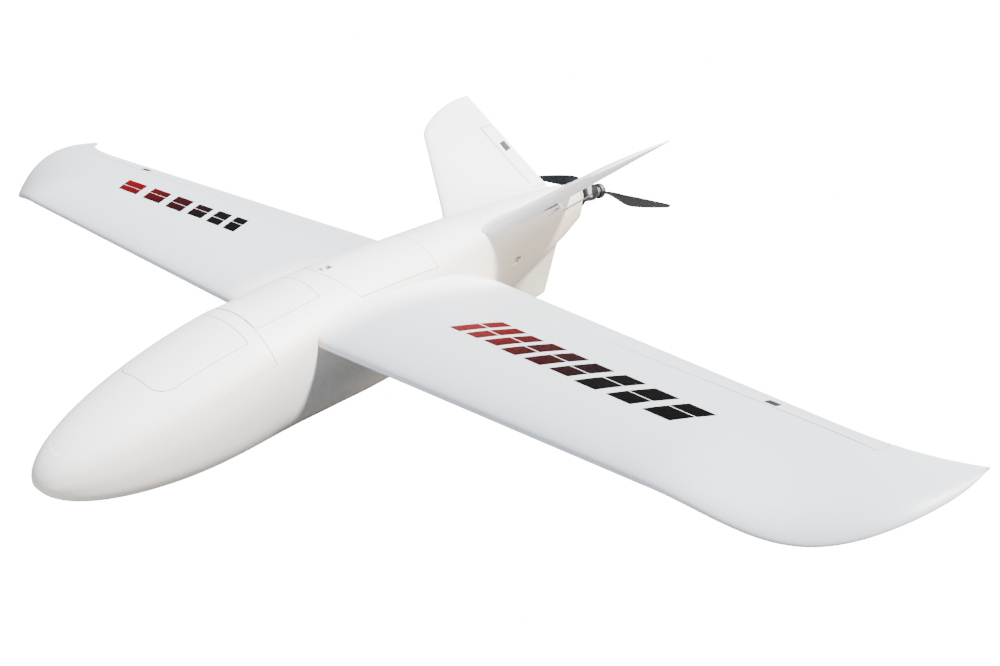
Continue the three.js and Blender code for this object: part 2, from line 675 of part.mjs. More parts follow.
function buildFuselage() {
  const group = new THREE.Group();
  const holes = [sparTube(spar.radius + CLEAR), rearPin(pin.radius + CLEAR)];
  const railBlock = block([rail.inner, tray.front + rail.short, rail.bottom],
    [rail.outer, tray.rear - rail.short, tray.top - tray.thickness - CLEAR]);
  let shell = wingSides(outerSkin).subtract(cavity);
  shell = joined(shell, ...[railBlock, mirrored(railBlock)].map((body) => body.intersect(outerSkin)));
  shell = cut(shell, ...holes, ...holes.map(mirrored));
  const hatches = [
    ["front_hatch", (g) => roundedOutline([hatch.noseHalf, hatch.noseRearHalf],
      [hatch.noseY, hatch.rearOfNose], [hatch.noseRadius, hatch.smallRadius], g)],
    ["centre_hatch", (g) => roundedOutline([hatch.centreHalf, hatch.centreHalf],
      [fuselage.noseEnd + 1, hatch.centreRear], [hatch.smallRadius, hatch.smallRadius], g)],
    ["rear_hatch", (g) => bowedOutline(hatch.rearHalf, hatch.rearFront, hatch.rearRear, hatch.bow, g)],
  ];
  const latchY = hatch.rearFront + latch.front;
  const latchSlot = block([-latch.half - CLEAR, latchY - 0.5, 20],
    [latch.half + CLEAR, latchY + latch.length + latch.travel + 0.5, FAR]);
  for (const [name, outline] of hatches) {
    const lid = shell.intersect(prism(outline(-hatch.slot / 2), hatch.floor, FAR));
    group.add(piece(name, name === "rear_hatch" ? cut(lid, latchSlot) : lid, foam));
    shell = cut(shell, prism(outline(hatch.slot / 2), hatch.floor, FAR));
  }
  group.add(piece("nose_cover", shell.intersect(coverRegion(-CLEAR / 2)), foam));
  shell = cut(shell, coverRegion(CLEAR / 2));
  const leftSpace = block([CLEAR / 2, -FAR, -FAR], [FAR, FAR, FAR]);
  group.add(piece("fuselage_left", shell.intersect(leftSpace), foam));
  group.add(piece("fuselage_right", shell.intersect(mirrored(leftSpace)), foam));
  group.add(piece("keel_fin", keelSolid(), foam));
  const deck = section(latchY).top;
  const knobY = hatch.rearFront + latch.knobFront;
  group.add(piece("rear_hatch_latch", joined(
    block([-latch.half, latchY, deck - latch.reach], [latch.half, latchY + latch.length, deck - latch.sink]),
    block([-latch.knobHalf, knobY, deck - latch.knobRise],
      [latch.knobHalf, knobY + latch.knobLength, deck + latch.knobRise]),
  ), whitePlastic));
  return group;
}

// ---------------------------------------------------------------- power train
// Turned about the thrust line, between two places along it.
const disc = (radius, from, to, sides) =>
  turned([[0, from], [radius, from], [radius, to], [0, to]], motor.height, sides);
const tube = (inner, outer, from, to, sides) =>
  cut(disc(outer, from, to, sides), disc(inner, from - 1, to + 1, Math.min(sides, 16)));

// The mount is a wedge: its front face is square to the airframe, and its rear face to the thrust line.
function motorMount(boltHoles) {
  const spare = 2 * motor.mountR * Math.tan(thrustTilt);
  const whole = tube(motor.cableHoleR, motor.mountR, mountY - spare, mountY + motor.mountDepth, 32);
  const tilted = new THREE.Matrix4().makeRotationX(-thrustTilt);
  const about = new THREE.Matrix4().makeTranslation(0, mountY, motor.height);
  const place = about.clone().multiply(tilted).multiply(about.clone().invert());
  const front = block([-FAR, mountY - FAR, -FAR], [FAR, mountY, FAR]);
  return cut(moved(whole, place), front, ...boltHoles);
}

function motorStator() {
  const front = mountY + motor.mountDepth + CLEAR;
  const coreFront = bellY + motor.coreFront;
  const coreRear = bellY + motor.bellLength - motor.coreRear;
  return cut(
    turned([[0, front], [motor.neckR, front], [motor.neckR, coreFront], [motor.coreR, coreFront],
      [motor.coreR, coreRear], [0, coreRear]], motor.height),
    disc(motor.shaftR + CLEAR, mountY, coreRear + 5, 16),
  );
}

function motorBell() {
  const rear = bellY + motor.bellLength;
  return cut(
    turned([[0, bellY], [motor.bellR, bellY], [motor.bellR, rear - motor.bellChamfer],
      [motor.bellR - motor.bellChamfer, rear], [0, rear]], motor.height, 36),
    disc(motor.bellR - motor.bellWall, bellY - 1, rear - motor.bellEnd, 28),
    disc(motor.shaftR + CLEAR, bellY, rear + 5, 16),
  );
}

function propellerNut() {
  const rear = nutY + propeller.nutLength;
  const shoulder = nutY + propeller.nutShoulder;
  const bored = rear - propeller.nutWall;
  return cut(
    turned([[0, nutY], [propeller.nutR, nutY], [propeller.nutR, shoulder], [propeller.nutR - 2, bored],
      [0, rear]], motor.height, 6),
    disc(motor.shaftR + CLEAR, nutY - 1, bored, 16),
  );
}

function buildPower() {
  const group = new THREE.Group();
  const boltHoles = range(4).map((i) => {
    const angle = Math.PI / 4 + (i * Math.PI) / 2;
    const x = (motor.boltCircle / 2) * Math.cos(angle);
    const z = motor.height + (motor.boltCircle / 2) * Math.sin(angle);
    return bar([x, mountY - 15, z], [x, mountY + 15, z], motor.boltHoleR, 8);
  });
  const bulkhead = tube(motor.cableHoleR, motor.bulkheadR, bulkheadY, bulkheadY + motor.bulkhead, 32);
  group.add(piece("motor_bulkhead", cut(bulkhead, ...boltHoles), whitePlastic));
  group.add(piece("motor_mount", motorMount(boltHoles), blackPlastic));

  // Everything behind the mount lies along the tilted thrust line.
  const thrust = new THREE.Group();
  thrust.position.set(0, mountY, motor.height);
  thrust.rotation.x = -thrustTilt;
  const stator = piece("motor_stator", motorStator(), steel);
  stator.position.set(0, -mountY, -motor.height);
  const spin = new THREE.Group();
  spin.name = "propeller_axis";
  spin.position.set(0, propY - mountY, 0);
  spin.rotation.y = -THREE.MathUtils.degToRad(propeller.rest);
  const shaftRear = nutY + propeller.nutLength - 2;
  const spinning = [
    piece("motor_bell", motorBell(), blackPlastic),
    piece("motor_shaft", disc(motor.shaftR, mountY + 3, shaftRear, 16), steel),
    piece("prop_adapter", tube(motor.shaftR + CLEAR, motor.flangeR, adapterY, adapterY + motor.flange, 24),
      aluminium),
    piece("propeller", propellerSolid(), greyPlastic),
    piece("prop_nut", propellerNut(), aluminium),
  ];
  spinning.forEach((mesh) => mesh.position.set(0, -propY, -motor.height));
  spin.add(...spinning);
  thrust.add(stator, spin);
  group.add(thrust);
  return group;
}

function propellerBlade() {
  const middle = propY + propeller.hubLength / 2;
  return loft(range(13).map((i) => {
    const t = i / 12;
    const r = THREE.MathUtils.lerp(4, propeller.radius, t);
    const out = clamp01(t / propeller.bestShare);
    const beyond = clamp01((t - propeller.bestShare) / (1 - propeller.bestShare));
    const chord = THREE.MathUtils.lerp(
      THREE.MathUtils.lerp(propeller.rootChord, propeller.bestChord, THREE.MathUtils.smoothstep(out, 0, 1)),
      propeller.tipChord, beyond ** 1.25);
    const tilt = Math.atan(propeller.pitch / (2 * Math.PI * Math.max(r, 16)));
    const along = new THREE.Vector3(0, Math.sin(tilt), -Math.cos(tilt));
    const up = new THREE.Vector3(0, Math.cos(tilt), Math.sin(tilt));
    const centre = new THREE.Vector3(r, middle, motor.height);
    const ahead = THREE.MathUtils.lerp(0.5, 0.12, clamp01(t * 3)); // share of the chord ahead of the line
    return aerofoil(centre.clone().addScaledVector(along, -chord * ahead),
      centre.clone().addScaledVector(along, chord * (1 - ahead)),
      { thickness: 0.2 - 0.1 * t, camber: 0.03, leastThickness: 0.9 }, up, 6);
  }));
}

function propellerSolid() {
  const blade = propellerBlade();
  const about = new THREE.Matrix4().makeTranslation(0, 0, motor.height);
  const halfTurn = about.clone().multiply(new THREE.Matrix4().makeRotationY(Math.PI))
    .multiply(about.clone().invert());
  return cut(
    joined(disc(propeller.hubR, propY, propY + propeller.hubLength, 24), blade, moved(blade, halfTurn)),
    disc(motor.shaftR + CLEAR, propY - 1, nutY, 16),
  );
}

// ---------------------------------------------------------------- equipment
function buildEquipment() {
  const group = new THREE.Group();
  const floor = tray.top + CLEAR;
  const box = (name, [x, y], [w, l, h], material) => group.add(piece(name,
    block([x - w / 2, y - l / 2, floor], [x + w / 2, y + l / 2, floor + h]), material));
  const half = battery.width / 2;
  const under = tray.top - tray.thickness;
  const trayBlock = block([-tray.half, tray.front, under], [tray.half, tray.rear, tray.top]);
  group.add(piece("equipment_tray", trayBlock.intersect(bay), plywood));
  const batterySize = [battery.width, battery.length, battery.height];
  box("battery", [0, battery.front + battery.length / 2], batterySize, wrap);
  const strapY = battery.front + battery.length * 0.55;
  const out = half + CLEAR + battery.strap;
  const high = floor + battery.height + CLEAR + battery.strap;
  group.add(piece("battery_strap", cut(
    block([-out, strapY, floor], [out, strapY + battery.strapWidth, high]),
    block([-half - CLEAR, strapY - 1, floor - 1],
      [half + CLEAR, strapY + battery.strapWidth + 1, high - battery.strap]),
  ), webbing));
  box("gps_module", [0, -20], [26, 26, 9], greyPlastic);
  box("flight_controller", [0, 30], [36, 38, 14], board);
  box("radio_receiver", [-20, 128], [21, 36, 8], board);
  box("speed_controller", [16, 150], [30, 62, 14], wrap);
  const { half: frameHalf, depth, top, windowHalf } = sparFrame;
  const bulkhead = block([-frameHalf, spar.y - depth / 2, floor], [frameHalf, spar.y + depth / 2, top]);
  const sockets = sparTube(spar.radius + CLEAR);
  const opening = block([-windowHalf, spar.y - depth, floor + sparFrame.sill],
    [windowHalf, spar.y + depth, sparFrame.windowTop]);
  const framed = cut(bulkhead.intersect(bay), sockets, mirrored(sockets), opening);
  group.add(piece("spar_bulkhead", framed, plywood));
  return group;
}

// ---------------------------------------------------------------- the whole aircraft
const airframe = new THREE.Group();
airframe.position.set(0, datumY, datumZ);
const right = left.clone();
right.scale.x = -1;
right.traverse((o) => {
  o.name = o.name.replace("_left", "_right");
});
airframe.add(left, right, buildFuselage(), buildPower(), buildEquipment());

const group = new THREE.Group();
group.add(airframe);
export default group;
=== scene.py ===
"""Looks of a foam fixed-wing drone with raked wing tips, a V tail, a keel fin and a pusher propeller.

Shapes are worked out in millimetres from the airframe datum, which is the wing's leading edge on the centre
plane: X to the left wing tip, Y aft and Z up. They become metres in the frame when a mesh is made.
"""
import json
import logging
import math
from collections.abc import Iterator
from contextlib import contextmanager
from dataclasses import dataclass, field
from enum import Enum

import bmesh
import bpy
import numpy as np
from mathutils import Matrix, Vector

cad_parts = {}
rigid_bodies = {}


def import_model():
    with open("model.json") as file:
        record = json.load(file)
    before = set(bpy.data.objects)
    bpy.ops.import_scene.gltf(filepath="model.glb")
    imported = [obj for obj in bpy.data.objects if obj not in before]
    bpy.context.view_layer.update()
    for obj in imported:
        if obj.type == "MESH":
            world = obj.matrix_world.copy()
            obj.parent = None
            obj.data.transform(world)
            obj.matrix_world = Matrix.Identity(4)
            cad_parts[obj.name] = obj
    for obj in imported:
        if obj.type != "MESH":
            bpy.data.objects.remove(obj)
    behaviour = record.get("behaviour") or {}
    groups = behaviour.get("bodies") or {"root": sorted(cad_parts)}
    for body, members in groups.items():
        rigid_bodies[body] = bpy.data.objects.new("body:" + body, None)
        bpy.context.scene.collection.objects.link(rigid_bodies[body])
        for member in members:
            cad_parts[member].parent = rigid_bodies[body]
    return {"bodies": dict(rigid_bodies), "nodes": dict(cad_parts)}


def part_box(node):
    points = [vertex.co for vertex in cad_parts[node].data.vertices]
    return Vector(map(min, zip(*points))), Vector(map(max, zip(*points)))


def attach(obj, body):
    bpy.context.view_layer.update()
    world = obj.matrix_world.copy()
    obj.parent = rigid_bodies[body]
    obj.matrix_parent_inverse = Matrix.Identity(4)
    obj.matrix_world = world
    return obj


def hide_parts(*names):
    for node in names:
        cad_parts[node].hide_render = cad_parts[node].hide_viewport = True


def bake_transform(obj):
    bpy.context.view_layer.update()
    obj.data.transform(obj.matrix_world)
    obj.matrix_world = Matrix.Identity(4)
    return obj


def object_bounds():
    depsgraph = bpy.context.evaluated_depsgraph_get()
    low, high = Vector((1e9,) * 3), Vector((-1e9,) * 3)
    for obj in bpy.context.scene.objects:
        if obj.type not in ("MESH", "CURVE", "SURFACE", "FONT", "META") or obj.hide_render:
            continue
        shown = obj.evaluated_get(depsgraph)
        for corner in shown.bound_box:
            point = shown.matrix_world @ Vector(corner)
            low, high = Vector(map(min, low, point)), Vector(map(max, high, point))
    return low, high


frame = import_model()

CAD_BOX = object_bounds()
MM = 0.001
LOG = logging.getLogger("drone")
UP = np.array([0.0, 0.0, 1.0])
AFT = np.array([0.0, 1.0, 0.0])
MERGE = 1e-6
ON_AXIS = 1e-4
TAU = 2 * math.pi
Piece = bpy.types.Object
Socket = bpy.types.NodeSocket


class Side(Enum):
    """A side of the aircraft, as its pilot would name it."""

    LEFT = "left"
    RIGHT = "right"


class Cut(Enum):
    """What a cutting solid does to a piece."""

    REMOVE = "DIFFERENCE"
    KEEP = "INTERSECT"


# ---------------------------------------------------------------- small maths
def mix(a: float, b: float, t: float) -> float:
    """Value a share t of the way from a to b."""
    return a + (b - a) * t


def clamp01(t: float) -> float:
    """t held between 0 and 1."""
    return min(1.0, max(0.0, t))


def smooth(t: float, low: float = 0.0, high: float = 1.0) -> float:
    """Smooth step of t from low to high."""
    share = clamp01((t - low) / (high - low))
    return share * share * (3 - 2 * share)


def unit(v: np.ndarray) -> np.ndarray:
    """v at length one."""
    return v / np.linalg.norm(v)


def rotation(axis: np.ndarray, angle: float, about: np.ndarray) -> np.ndarray:
    """A turn by angle about an axis through a point, as a 4 by 4 matrix."""
    turn = Matrix.Rotation(angle, 4, Vector(axis))
    there = Matrix.Translation(Vector(about))
    return np.array(there @ turn @ there.inverted())


def placed(points: np.ndarray, place: np.ndarray | None) -> np.ndarray:
    """Points moved by a 4 by 4 matrix, or left alone."""
    points = np.asarray(points, float)
    return points if place is None else points @ place[:3, :3].T + place[:3, 3]


# ---------------------------------------------------------------- mesh tools
@dataclass(frozen=True)
class Datum:
    """Where the airframe datum lies in the frame."""

    nose_reach: float = 282.0
    belly: float = 94.0

    def origin(self) -> np.ndarray:
        """The datum in millimetres of the frame, from the lowest and foremost point of the fuselage."""
        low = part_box("fuselage_left")[0]
        return np.array([0.0, low.y / MM + self.nose_reach, low.z / MM + self.belly])


DATUM = Datum().origin()


def linked(name: str, data: bpy.types.ID) -> Piece:
    """A new object in the scene round a mesh, a lamp or a camera."""
    made = bpy.data.objects.new(name, data)
    bpy.context.scene.collection.objects.link(made)
    return made


@contextmanager
def editing(mesh: bpy.types.Mesh) -> Iterator[bmesh.types.BMesh]:
    """Opens a mesh for editing and stores it afterwards."""
    work = bmesh.new()
    work.from_mesh(mesh)
    yield work
    work.to_mesh(mesh)
    work.free()


def make_object(name: str, points: np.ndarray, faces: list) -> Piece:
    """A mesh object from datum millimetres, with doubles merged and faces turned outwards.

    Args:
        name: the object's name.
        points: vertices in datum millimetres.
        faces: lists of vertex numbers.

    Returns:
        The linked object, in metres in the frame.
    """
    mesh = bpy.data.meshes.new(name)
    mesh.from_pydata(((np.asarray(points) + DATUM) * MM).tolist(), [], [list(f) for f in faces])
    with editing(mesh) as work:
        bmesh.ops.remove_doubles(work, verts=work.verts, dist=MERGE)
        bmesh.ops.recalc_face_normals(work, faces=work.faces)
    return linked(name, mesh)


def loft_arrays(rings: np.ndarray) -> tuple[np.ndarray, list]:
    """Vertices and faces of a skin through closed rings of equally many points, capped at both ends."""
    count, size = rings.shape[:2]
    a = np.arange(size)
    b = (a + 1) % size
    faces: list = []
    for r in range(count - 1):
        faces += np.stack([r * size + a, r * size + b, (r + 1) * size + b, (r + 1) * size + a], 1).tolist()
    faces += [a[::-1].tolist(), ((count - 1) * size + a).tolist()]
    return rings.reshape(-1, 3), faces


def loft(name: str, rings: list, place: np.ndarray | None = None) -> Piece:
    """A closed skin through rings."""
    points, faces = loft_arrays(np.array(rings, float))
    return make_object(name, placed(points, place), faces)


def prism(outline: list, low: float, high: float) -> Piece:
    """An outline in the XY plane, pulled up from low to high."""
    rings = [[(x, y, z) for x, y in outline] for z in (low, high)]
    return loft("cutter", rings)


def plate(outline: list, low: float, high: float, place: np.ndarray | None = None) -> Piece:
    """An outline in the YZ plane, as thick as from one x to another."""
    rings = [[(x, y, z) for y, z in outline] for x in (low, high)]
    return loft("cutter", rings, place)


def block(low: tuple, high: tuple, place: np.ndarray | None = None) -> Piece:
    """A box between two corners."""
    outline = [(low[1], low[2]), (high[1], low[2]), (high[1], high[2]), (low[1], high[2])]
    return plate(outline, low[0], high[0], place)


def turned(name: str, profile: list, centre: tuple, sides: int = 64,
           place: np.ndarray | None = None) -> Piece:
    """A turned piece about an axis along Y.

    Args:
        name: the object's name.
        profile: radius and y pairs of a closed outline, which may touch the axis.
        centre: x and z of the axis.
        sides: how many steps go round.
        place: a matrix that moves the result.

    Returns:
        The object.
    """
    angles = np.linspace(0, TAU, sides, endpoint=False)
    rings = [[(centre[0] + r * math.cos(t), y, centre[1] + r * math.sin(t)) for t in angles]
             for r, y in ((max(r, ON_AXIS), y) for r, y in profile)]
    faces = []
    for k in range(len(profile)):
        follow = (k + 1) % len(profile)
        for i in range(sides):
            j = (i + 1) % sides
            faces.append((k * sides + i, k * sides + j, follow * sides + j, follow * sides + i))
    made = make_object(name, placed(np.array(rings).reshape(-1, 3), place), faces)
    with editing(made.data) as work:
        bmesh.ops.dissolve_degenerate(work, dist=MERGE, edges=work.edges)
    return made


def carve(piece: Piece, cutter: Piece, how: Cut = Cut.REMOVE) -> Piece:
    """Cuts a piece with a solid, in place, and returns the piece."""
    modifier = piece.modifiers.new("cut", "BOOLEAN")
    modifier.operation = how.value
    modifier.solver = "EXACT"
    modifier.object = cutter
    graph = bpy.context.evaluated_depsgraph_get()
    old = piece.data
    mesh = bpy.data.meshes.new_from_object(piece.evaluated_get(graph))
    piece.modifiers.clear()
    piece.data = mesh
    bpy.data.meshes.remove(old)
    bpy.data.objects.remove(cutter)
    return piece


def duplicate(piece: Piece, name: str, mirrored: bool = False) -> Piece:
    """A copy of a piece with its own mesh, mirrored in the centre plane if asked."""
    mesh = piece.data.copy()
    if mirrored:
        mesh.transform(Matrix.Diagonal((-1, 1, 1, 1)))
        mesh.flip_normals()
    return linked(name, mesh)


def joined(name: str, pieces: list) -> Piece:
    """Several objects as one."""
    work = bmesh.new()
    for piece in pieces:
        work.from_mesh(piece.data)
        bpy.data.objects.remove(piece)
    mesh = bpy.data.meshes.new(name)
    work.to_mesh(mesh)
    work.free()
    return linked(name, mesh)


# ---------------------------------------------------------------- shader groups
def group_tree(name: str, inputs: dict,
               outputs: tuple) -> tuple[bpy.types.NodeTree, bpy.types.Node, bpy.types.Node]:
    """A new shader node group with its sockets, all of them values.

    Args:
        name: the group's name.
        inputs: default value of each input.
        outputs: name of each output.

    Returns:
        The tree, its input node and its output node.
    """
    tree = bpy.data.node_groups.new(name, "ShaderNodeTree")
    for key, value in inputs.items():
        socket = tree.interface.new_socket(name=key, in_out="INPUT", socket_type="NodeSocketFloat")
        socket.default_value = value
    for key in outputs:
        tree.interface.new_socket(name=key, in_out="OUTPUT", socket_type="NodeSocketFloat")
    return tree, tree.nodes.new("NodeGroupInput"), tree.nodes.new("NodeGroupOutput")


def wire(tree: bpy.types.NodeTree, links: list) -> None:
    """Joins sockets. Each link is a node, its output, the next node and its input."""
    for source, output, sink, entry in links:
        tree.links.new(source.outputs[output], sink.inputs[entry])


def bead_group() -> bpy.types.NodeTree:
    """Moulded foam: the outlines of its beads and a slow mottling."""
    tree, source, sink = group_tree("moulded_beads", {"Bead Scale": 380.0, "Mottle Scale": 9.0},
                                    ("Height", "Mottle"))
    place = tree.nodes.new("ShaderNodeTexCoord")
    beads = tree.nodes.new("ShaderNodeTexVoronoi")
    beads.feature = "DISTANCE_TO_EDGE"
    grain = tree.nodes.new("ShaderNodeTexNoise")
    grain.inputs["Detail"].default_value = 3.0
    edge = tree.nodes.new("ShaderNodeMapRange")
    edge.inputs["From Max"].default_value = 0.16
    blend = tree.nodes.new("ShaderNodeMath")
    blend.operation = "MULTIPLY_ADD"
    blend.inputs[1].default_value = 0.5
    mottle = tree.nodes.new("ShaderNodeTexNoise")
    mottle.inputs["Detail"].default_value = 2.0
    wire(tree, [(place, "Object", texture, "Vector") for texture in (beads, grain, mottle)])
    wire(tree, [(source, "Bead Scale", beads, "Scale"), (source, "Bead Scale", grain, "Scale"),
                (source, "Mottle Scale", mottle, "Scale"), (beads, "Distance", edge, "Value"),
                (grain, "Fac", blend, 0), (edge, "Result", blend, 2),
                (blend, "Value", sink, "Height"), (mottle, "Fac", sink, "Mottle")])
    return tree


def grain_group() -> bpy.types.NodeTree:
    """Fine even grain of moulded plastic or worked metal, which may be stretched along Y."""
    tree, source, sink = group_tree("fine_grain", {"Scale": 900.0, "Stretch": 1.0}, ("Height", "Tone"))
    place = tree.nodes.new("ShaderNodeTexCoord")
    apart = tree.nodes.new("ShaderNodeSeparateXYZ")
    stretch = tree.nodes.new("ShaderNodeMath")
    stretch.operation = "MULTIPLY"
    together = tree.nodes.new("ShaderNodeCombineXYZ")
    fine = tree.nodes.new("ShaderNodeTexNoise")
    slow = tree.nodes.new("ShaderNodeTexNoise")
    slow.inputs["Scale"].default_value = 40.0
    wire(tree, [(place, "Object", apart, "Vector"), (apart, "X", together, "X"), (apart, "Z", together, "Z"),
                (apart, "Y", stretch, 0), (source, "Stretch", stretch, 1), (stretch, "Value", together, "Y"),
                (together, "Vector", fine, "Vector"), (source, "Scale", fine, "Scale"),
                (place, "Object", slow, "Vector"), (fine, "Fac", sink, "Height"),
                (slow, "Fac", sink, "Tone")])
    return tree


GROUPS: dict[str, bpy.types.NodeTree] = {"beads": bead_group(), "grain": grain_group()}


class Shader:
    """A material being built round one Principled BSDF."""

    def __init__(self, name: str, roughness: float, metallic: float = 0.0, coat: float = 0.0) -> None:
        """Starts the material with the values that are the same all over."""
        self.material = bpy.data.materials.new(name)
        self.material.use_nodes = True
        self.tree = self.material.node_tree
        self.surface = self.tree.nodes["Principled BSDF"]
        self.surface.inputs["Roughness"].default_value = roughness
        self.surface.inputs["Metallic"].default_value = metallic
        self.surface.inputs["Coat Weight"].default_value = coat

    def node(self, kind: str, **values: float) -> bpy.types.Node:
        """Adds a node and sets its named inputs."""
        return self.filled(self.tree.nodes.new(kind), values)

    def group(self, key: str, **values: float) -> bpy.types.Node:
        """Adds one of the shared groups and sets its inputs."""
        made = self.tree.nodes.new("ShaderNodeGroup")
        made.node_tree = GROUPS[key]
        return self.filled(made, values)

    @staticmethod
    def filled(node: bpy.types.Node, values: dict) -> bpy.types.Node:
        """Sets inputs by name, with an underscore for each space, and returns the node."""
        for key, value in values.items():
            node.inputs[key.replace("_", " ")].default_value = value
        return node

    def link(self, source: Socket, target: Socket) -> None:
        """Joins two sockets."""
        self.tree.links.new(source, target)

    def ramp(self, factor: Socket, stops: list) -> Socket:
        """Colours along a value: a list of place and colour."""
        ramp = self.tree.nodes.new("ShaderNodeValToRGB")
        elements = ramp.color_ramp.elements
        while len(elements) < len(stops):
            elements.new(0.5)
        for element, (place, colour) in zip(elements, stops):
            element.position = place
            element.color = (*colour, 1.0)
        self.link(factor, ramp.inputs["Fac"])
        return ramp.outputs["Color"]

    def fade(self, value: Socket, start: float, end: float) -> Socket:
        """A smooth share from 0 where the value is start to 1 where it is end."""
        span = self.node("ShaderNodeMapRange", From_Min=start, From_Max=end)
        span.interpolation_type = "SMOOTHSTEP"
        self.link(value, span.inputs["Value"])
        return span.outputs["Result"]

    def worked(self, operation: str, *values: Socket) -> Socket:
        """The result of a mathematical operation on one or two values."""
        result = self.node("ShaderNodeMath")
        result.operation = operation
        for value, entry in zip(values, result.inputs):
            self.link(value, entry)
        return result.outputs["Value"]

    def apart(self, output: str) -> bpy.types.NodeOutputs:
        """X, Y and Z of the surface's place or normal in the object's own axes."""
        parted = self.node("ShaderNodeSeparateXYZ")
        self.link(self.node("ShaderNodeTexCoord").outputs[output], parted.inputs["Vector"])
        return parted.outputs

    def blend(self, share: Socket, tone: Socket,
              colour: tuple) -> Socket:
        """A tone that gives way to a fixed colour."""
        mixer = self.node("ShaderNodeMix")
        mixer.data_type = "RGBA"
        entry = {socket.identifier: socket for socket in mixer.inputs}
        self.link(share, mixer.inputs["Factor"])
        self.link(tone, entry["A_Color"])
        entry["B_Color"].default_value = (*colour, 1.0)
        return next(socket for socket in mixer.outputs if socket.identifier == "Result_Color")

    def colour(self, socket: Socket) -> None:
        """Sends a colour to the surface."""
        self.link(socket, self.surface.inputs["Base Color"])

    def bump(self, height: Socket, strength: float, depth: float) -> None:
        """Raises the surface by up to a depth in millimetres."""
        bump = self.node("ShaderNodeBump", Strength=strength, Distance=depth * MM)
        self.link(height, bump.inputs["Height"])
        self.link(bump.outputs["Normal"], self.surface.inputs["Normal"])

    def rough(self, factor: Socket, low: float, high: float) -> None:
        """Roughness between two values along a factor."""
        spread = self.node("ShaderNodeMapRange", To_Min=low, To_Max=high)
        self.link(factor, spread.inputs["Value"])
        self.link(spread.outputs["Result"], self.surface.inputs["Roughness"])


@dataclass(frozen=True)
class Foam:
    """Moulded bead foam. The fuselage's is painted paler on top as a painted highlight, cooler outboard and
    painted darker beige low at the rear as painted shade.
    """

    name: str
    colour: tuple
    # Painted highlight: the colour that faces turned up are made, as if lit from above.
    painted_top_light: tuple | None = None
    outboard: tuple | None = None
    # Painted shade: the beige laid low at the rear of the fuselage, where the fin's shadow falls.
    rear: tuple | None = None
    roughness: float = 0.46
    mottle: float = 0.965
    mottle_stops: tuple = (0.3, 0.7)
    bead_scale: float = 330.0
    mottle_scale: float = 7.0
    dimple: float = 0.12
    # How far up a face must turn before it takes the painted highlight.
    painted_top_light_facing: tuple = (0.45, 0.9)
    outboard_span: tuple = (58.0, 104.0)
    # Where the painted rear shade runs along Y and how high it reaches up Z.
    painted_rear_shade_run: tuple = (250.0, 340.0)
    rear_height: tuple = (50.0, 18.0)

    def build(self) -> bpy.types.Material:
        """The material."""
        shader = Shader(self.name, self.roughness)
        beads = shader.group("beads", Bead_Scale=self.bead_scale, Mottle_Scale=self.mottle_scale)
        dull = tuple(c * self.mottle for c in self.colour)
        tone = shader.ramp(beads.outputs["Mottle"], list(zip(self.mottle_stops, (dull, self.colour))))
        at = shader.apart("Object")
        # Painted shade: low at the rear the tone gives way to beige, standing in for the fin's shadow.
        if self.rear:
            aft = shader.fade(at["Y"], *[(v + DATUM[1]) * MM for v in self.painted_rear_shade_run])
            low = shader.fade(at["Z"], *[(v + DATUM[2]) * MM for v in self.rear_height])
            tone = shader.blend(shader.worked("MULTIPLY", aft, low), tone, self.rear)
        # Painted highlight: upward faces blend towards the paler top colour, standing in for the sun on top.
        if self.painted_top_light:
            facing = shader.fade(shader.apart("Normal")["Z"], *self.painted_top_light_facing)
            tone = shader.blend(facing, tone, self.painted_top_light)
        if self.outboard:
            away = shader.worked("ABSOLUTE", at["X"])
            tone = shader.blend(shader.fade(away, *[v * MM for v in self.outboard_span]), tone, self.outboard)
        shader.colour(tone)
        shader.rough(beads.outputs["Height"], self.roughness + 0.06, self.roughness - 0.03)
        shader.bump(beads.outputs["Height"], 0.35, self.dimple)
        return shader.material


@dataclass(frozen=True)
class Plastic:
    """Moulded plastic with a fine grain."""

    name: str
    colour: tuple
    roughness: float = 0.42
    coat: float = 0.0
    grain: float = 1200.0

    def build(self) -> bpy.types.Material:
        """The material."""
        shader = Shader(self.name, self.roughness, coat=self.coat)
        grain = shader.group("grain", Scale=self.grain)
        light = tuple(min(1.0, c * 1.25 + 0.004) for c in self.colour)
        shader.colour(shader.ramp(grain.outputs["Tone"], [(0.35, self.colour), (0.75, light)]))
        shader.rough(grain.outputs["Height"], self.roughness - 0.05, self.roughness + 0.08)
        shader.bump(grain.outputs["Height"], 0.25, 0.06)
        return shader.material


@dataclass(frozen=True)
class Metal:
    """Turned or drawn metal: a grain drawn out along the work."""

    name: str
    colour: tuple
    roughness: float = 0.3
    metallic: float = 1.0
    stretch: float = 0.06

    def build(self) -> bpy.types.Material:
        """The material."""
        shader = Shader(self.name, self.roughness, metallic=self.metallic)
        grain = shader.group("grain", Scale=1600.0, Stretch=self.stretch)
        dark = tuple(c * 0.8 for c in self.colour)
        shader.colour(shader.ramp(grain.outputs["Height"], [(0.3, dark), (0.7, self.colour)]))
        shader.rough(grain.outputs["Height"], self.roughness - 0.06, self.roughness + 0.1)
        shader.bump(grain.outputs["Height"], 0.15, 0.03)
        return shader.material


@dataclass(frozen=True)
class Plywood:
    """Birch plywood with drawn-out grain."""

    name: str
    early: tuple = (0.34, 0.21, 0.1)
    middle: tuple = (0.56, 0.39, 0.21)
    late: tuple = (0.66, 0.49, 0.29)

    def build(self) -> bpy.types.Material:
        """The material."""
        shader = Shader(self.name, 0.62)
        grain = shader.group("grain", Scale=420.0, Stretch=0.05)
        shader.colour(shader.ramp(grain.outputs["Height"],
                                  [(0.25, self.early), (0.5, self.middle), (0.8, self.late)]))
        shader.bump(grain.outputs["Height"], 0.3, 0.1)
        return shader.material


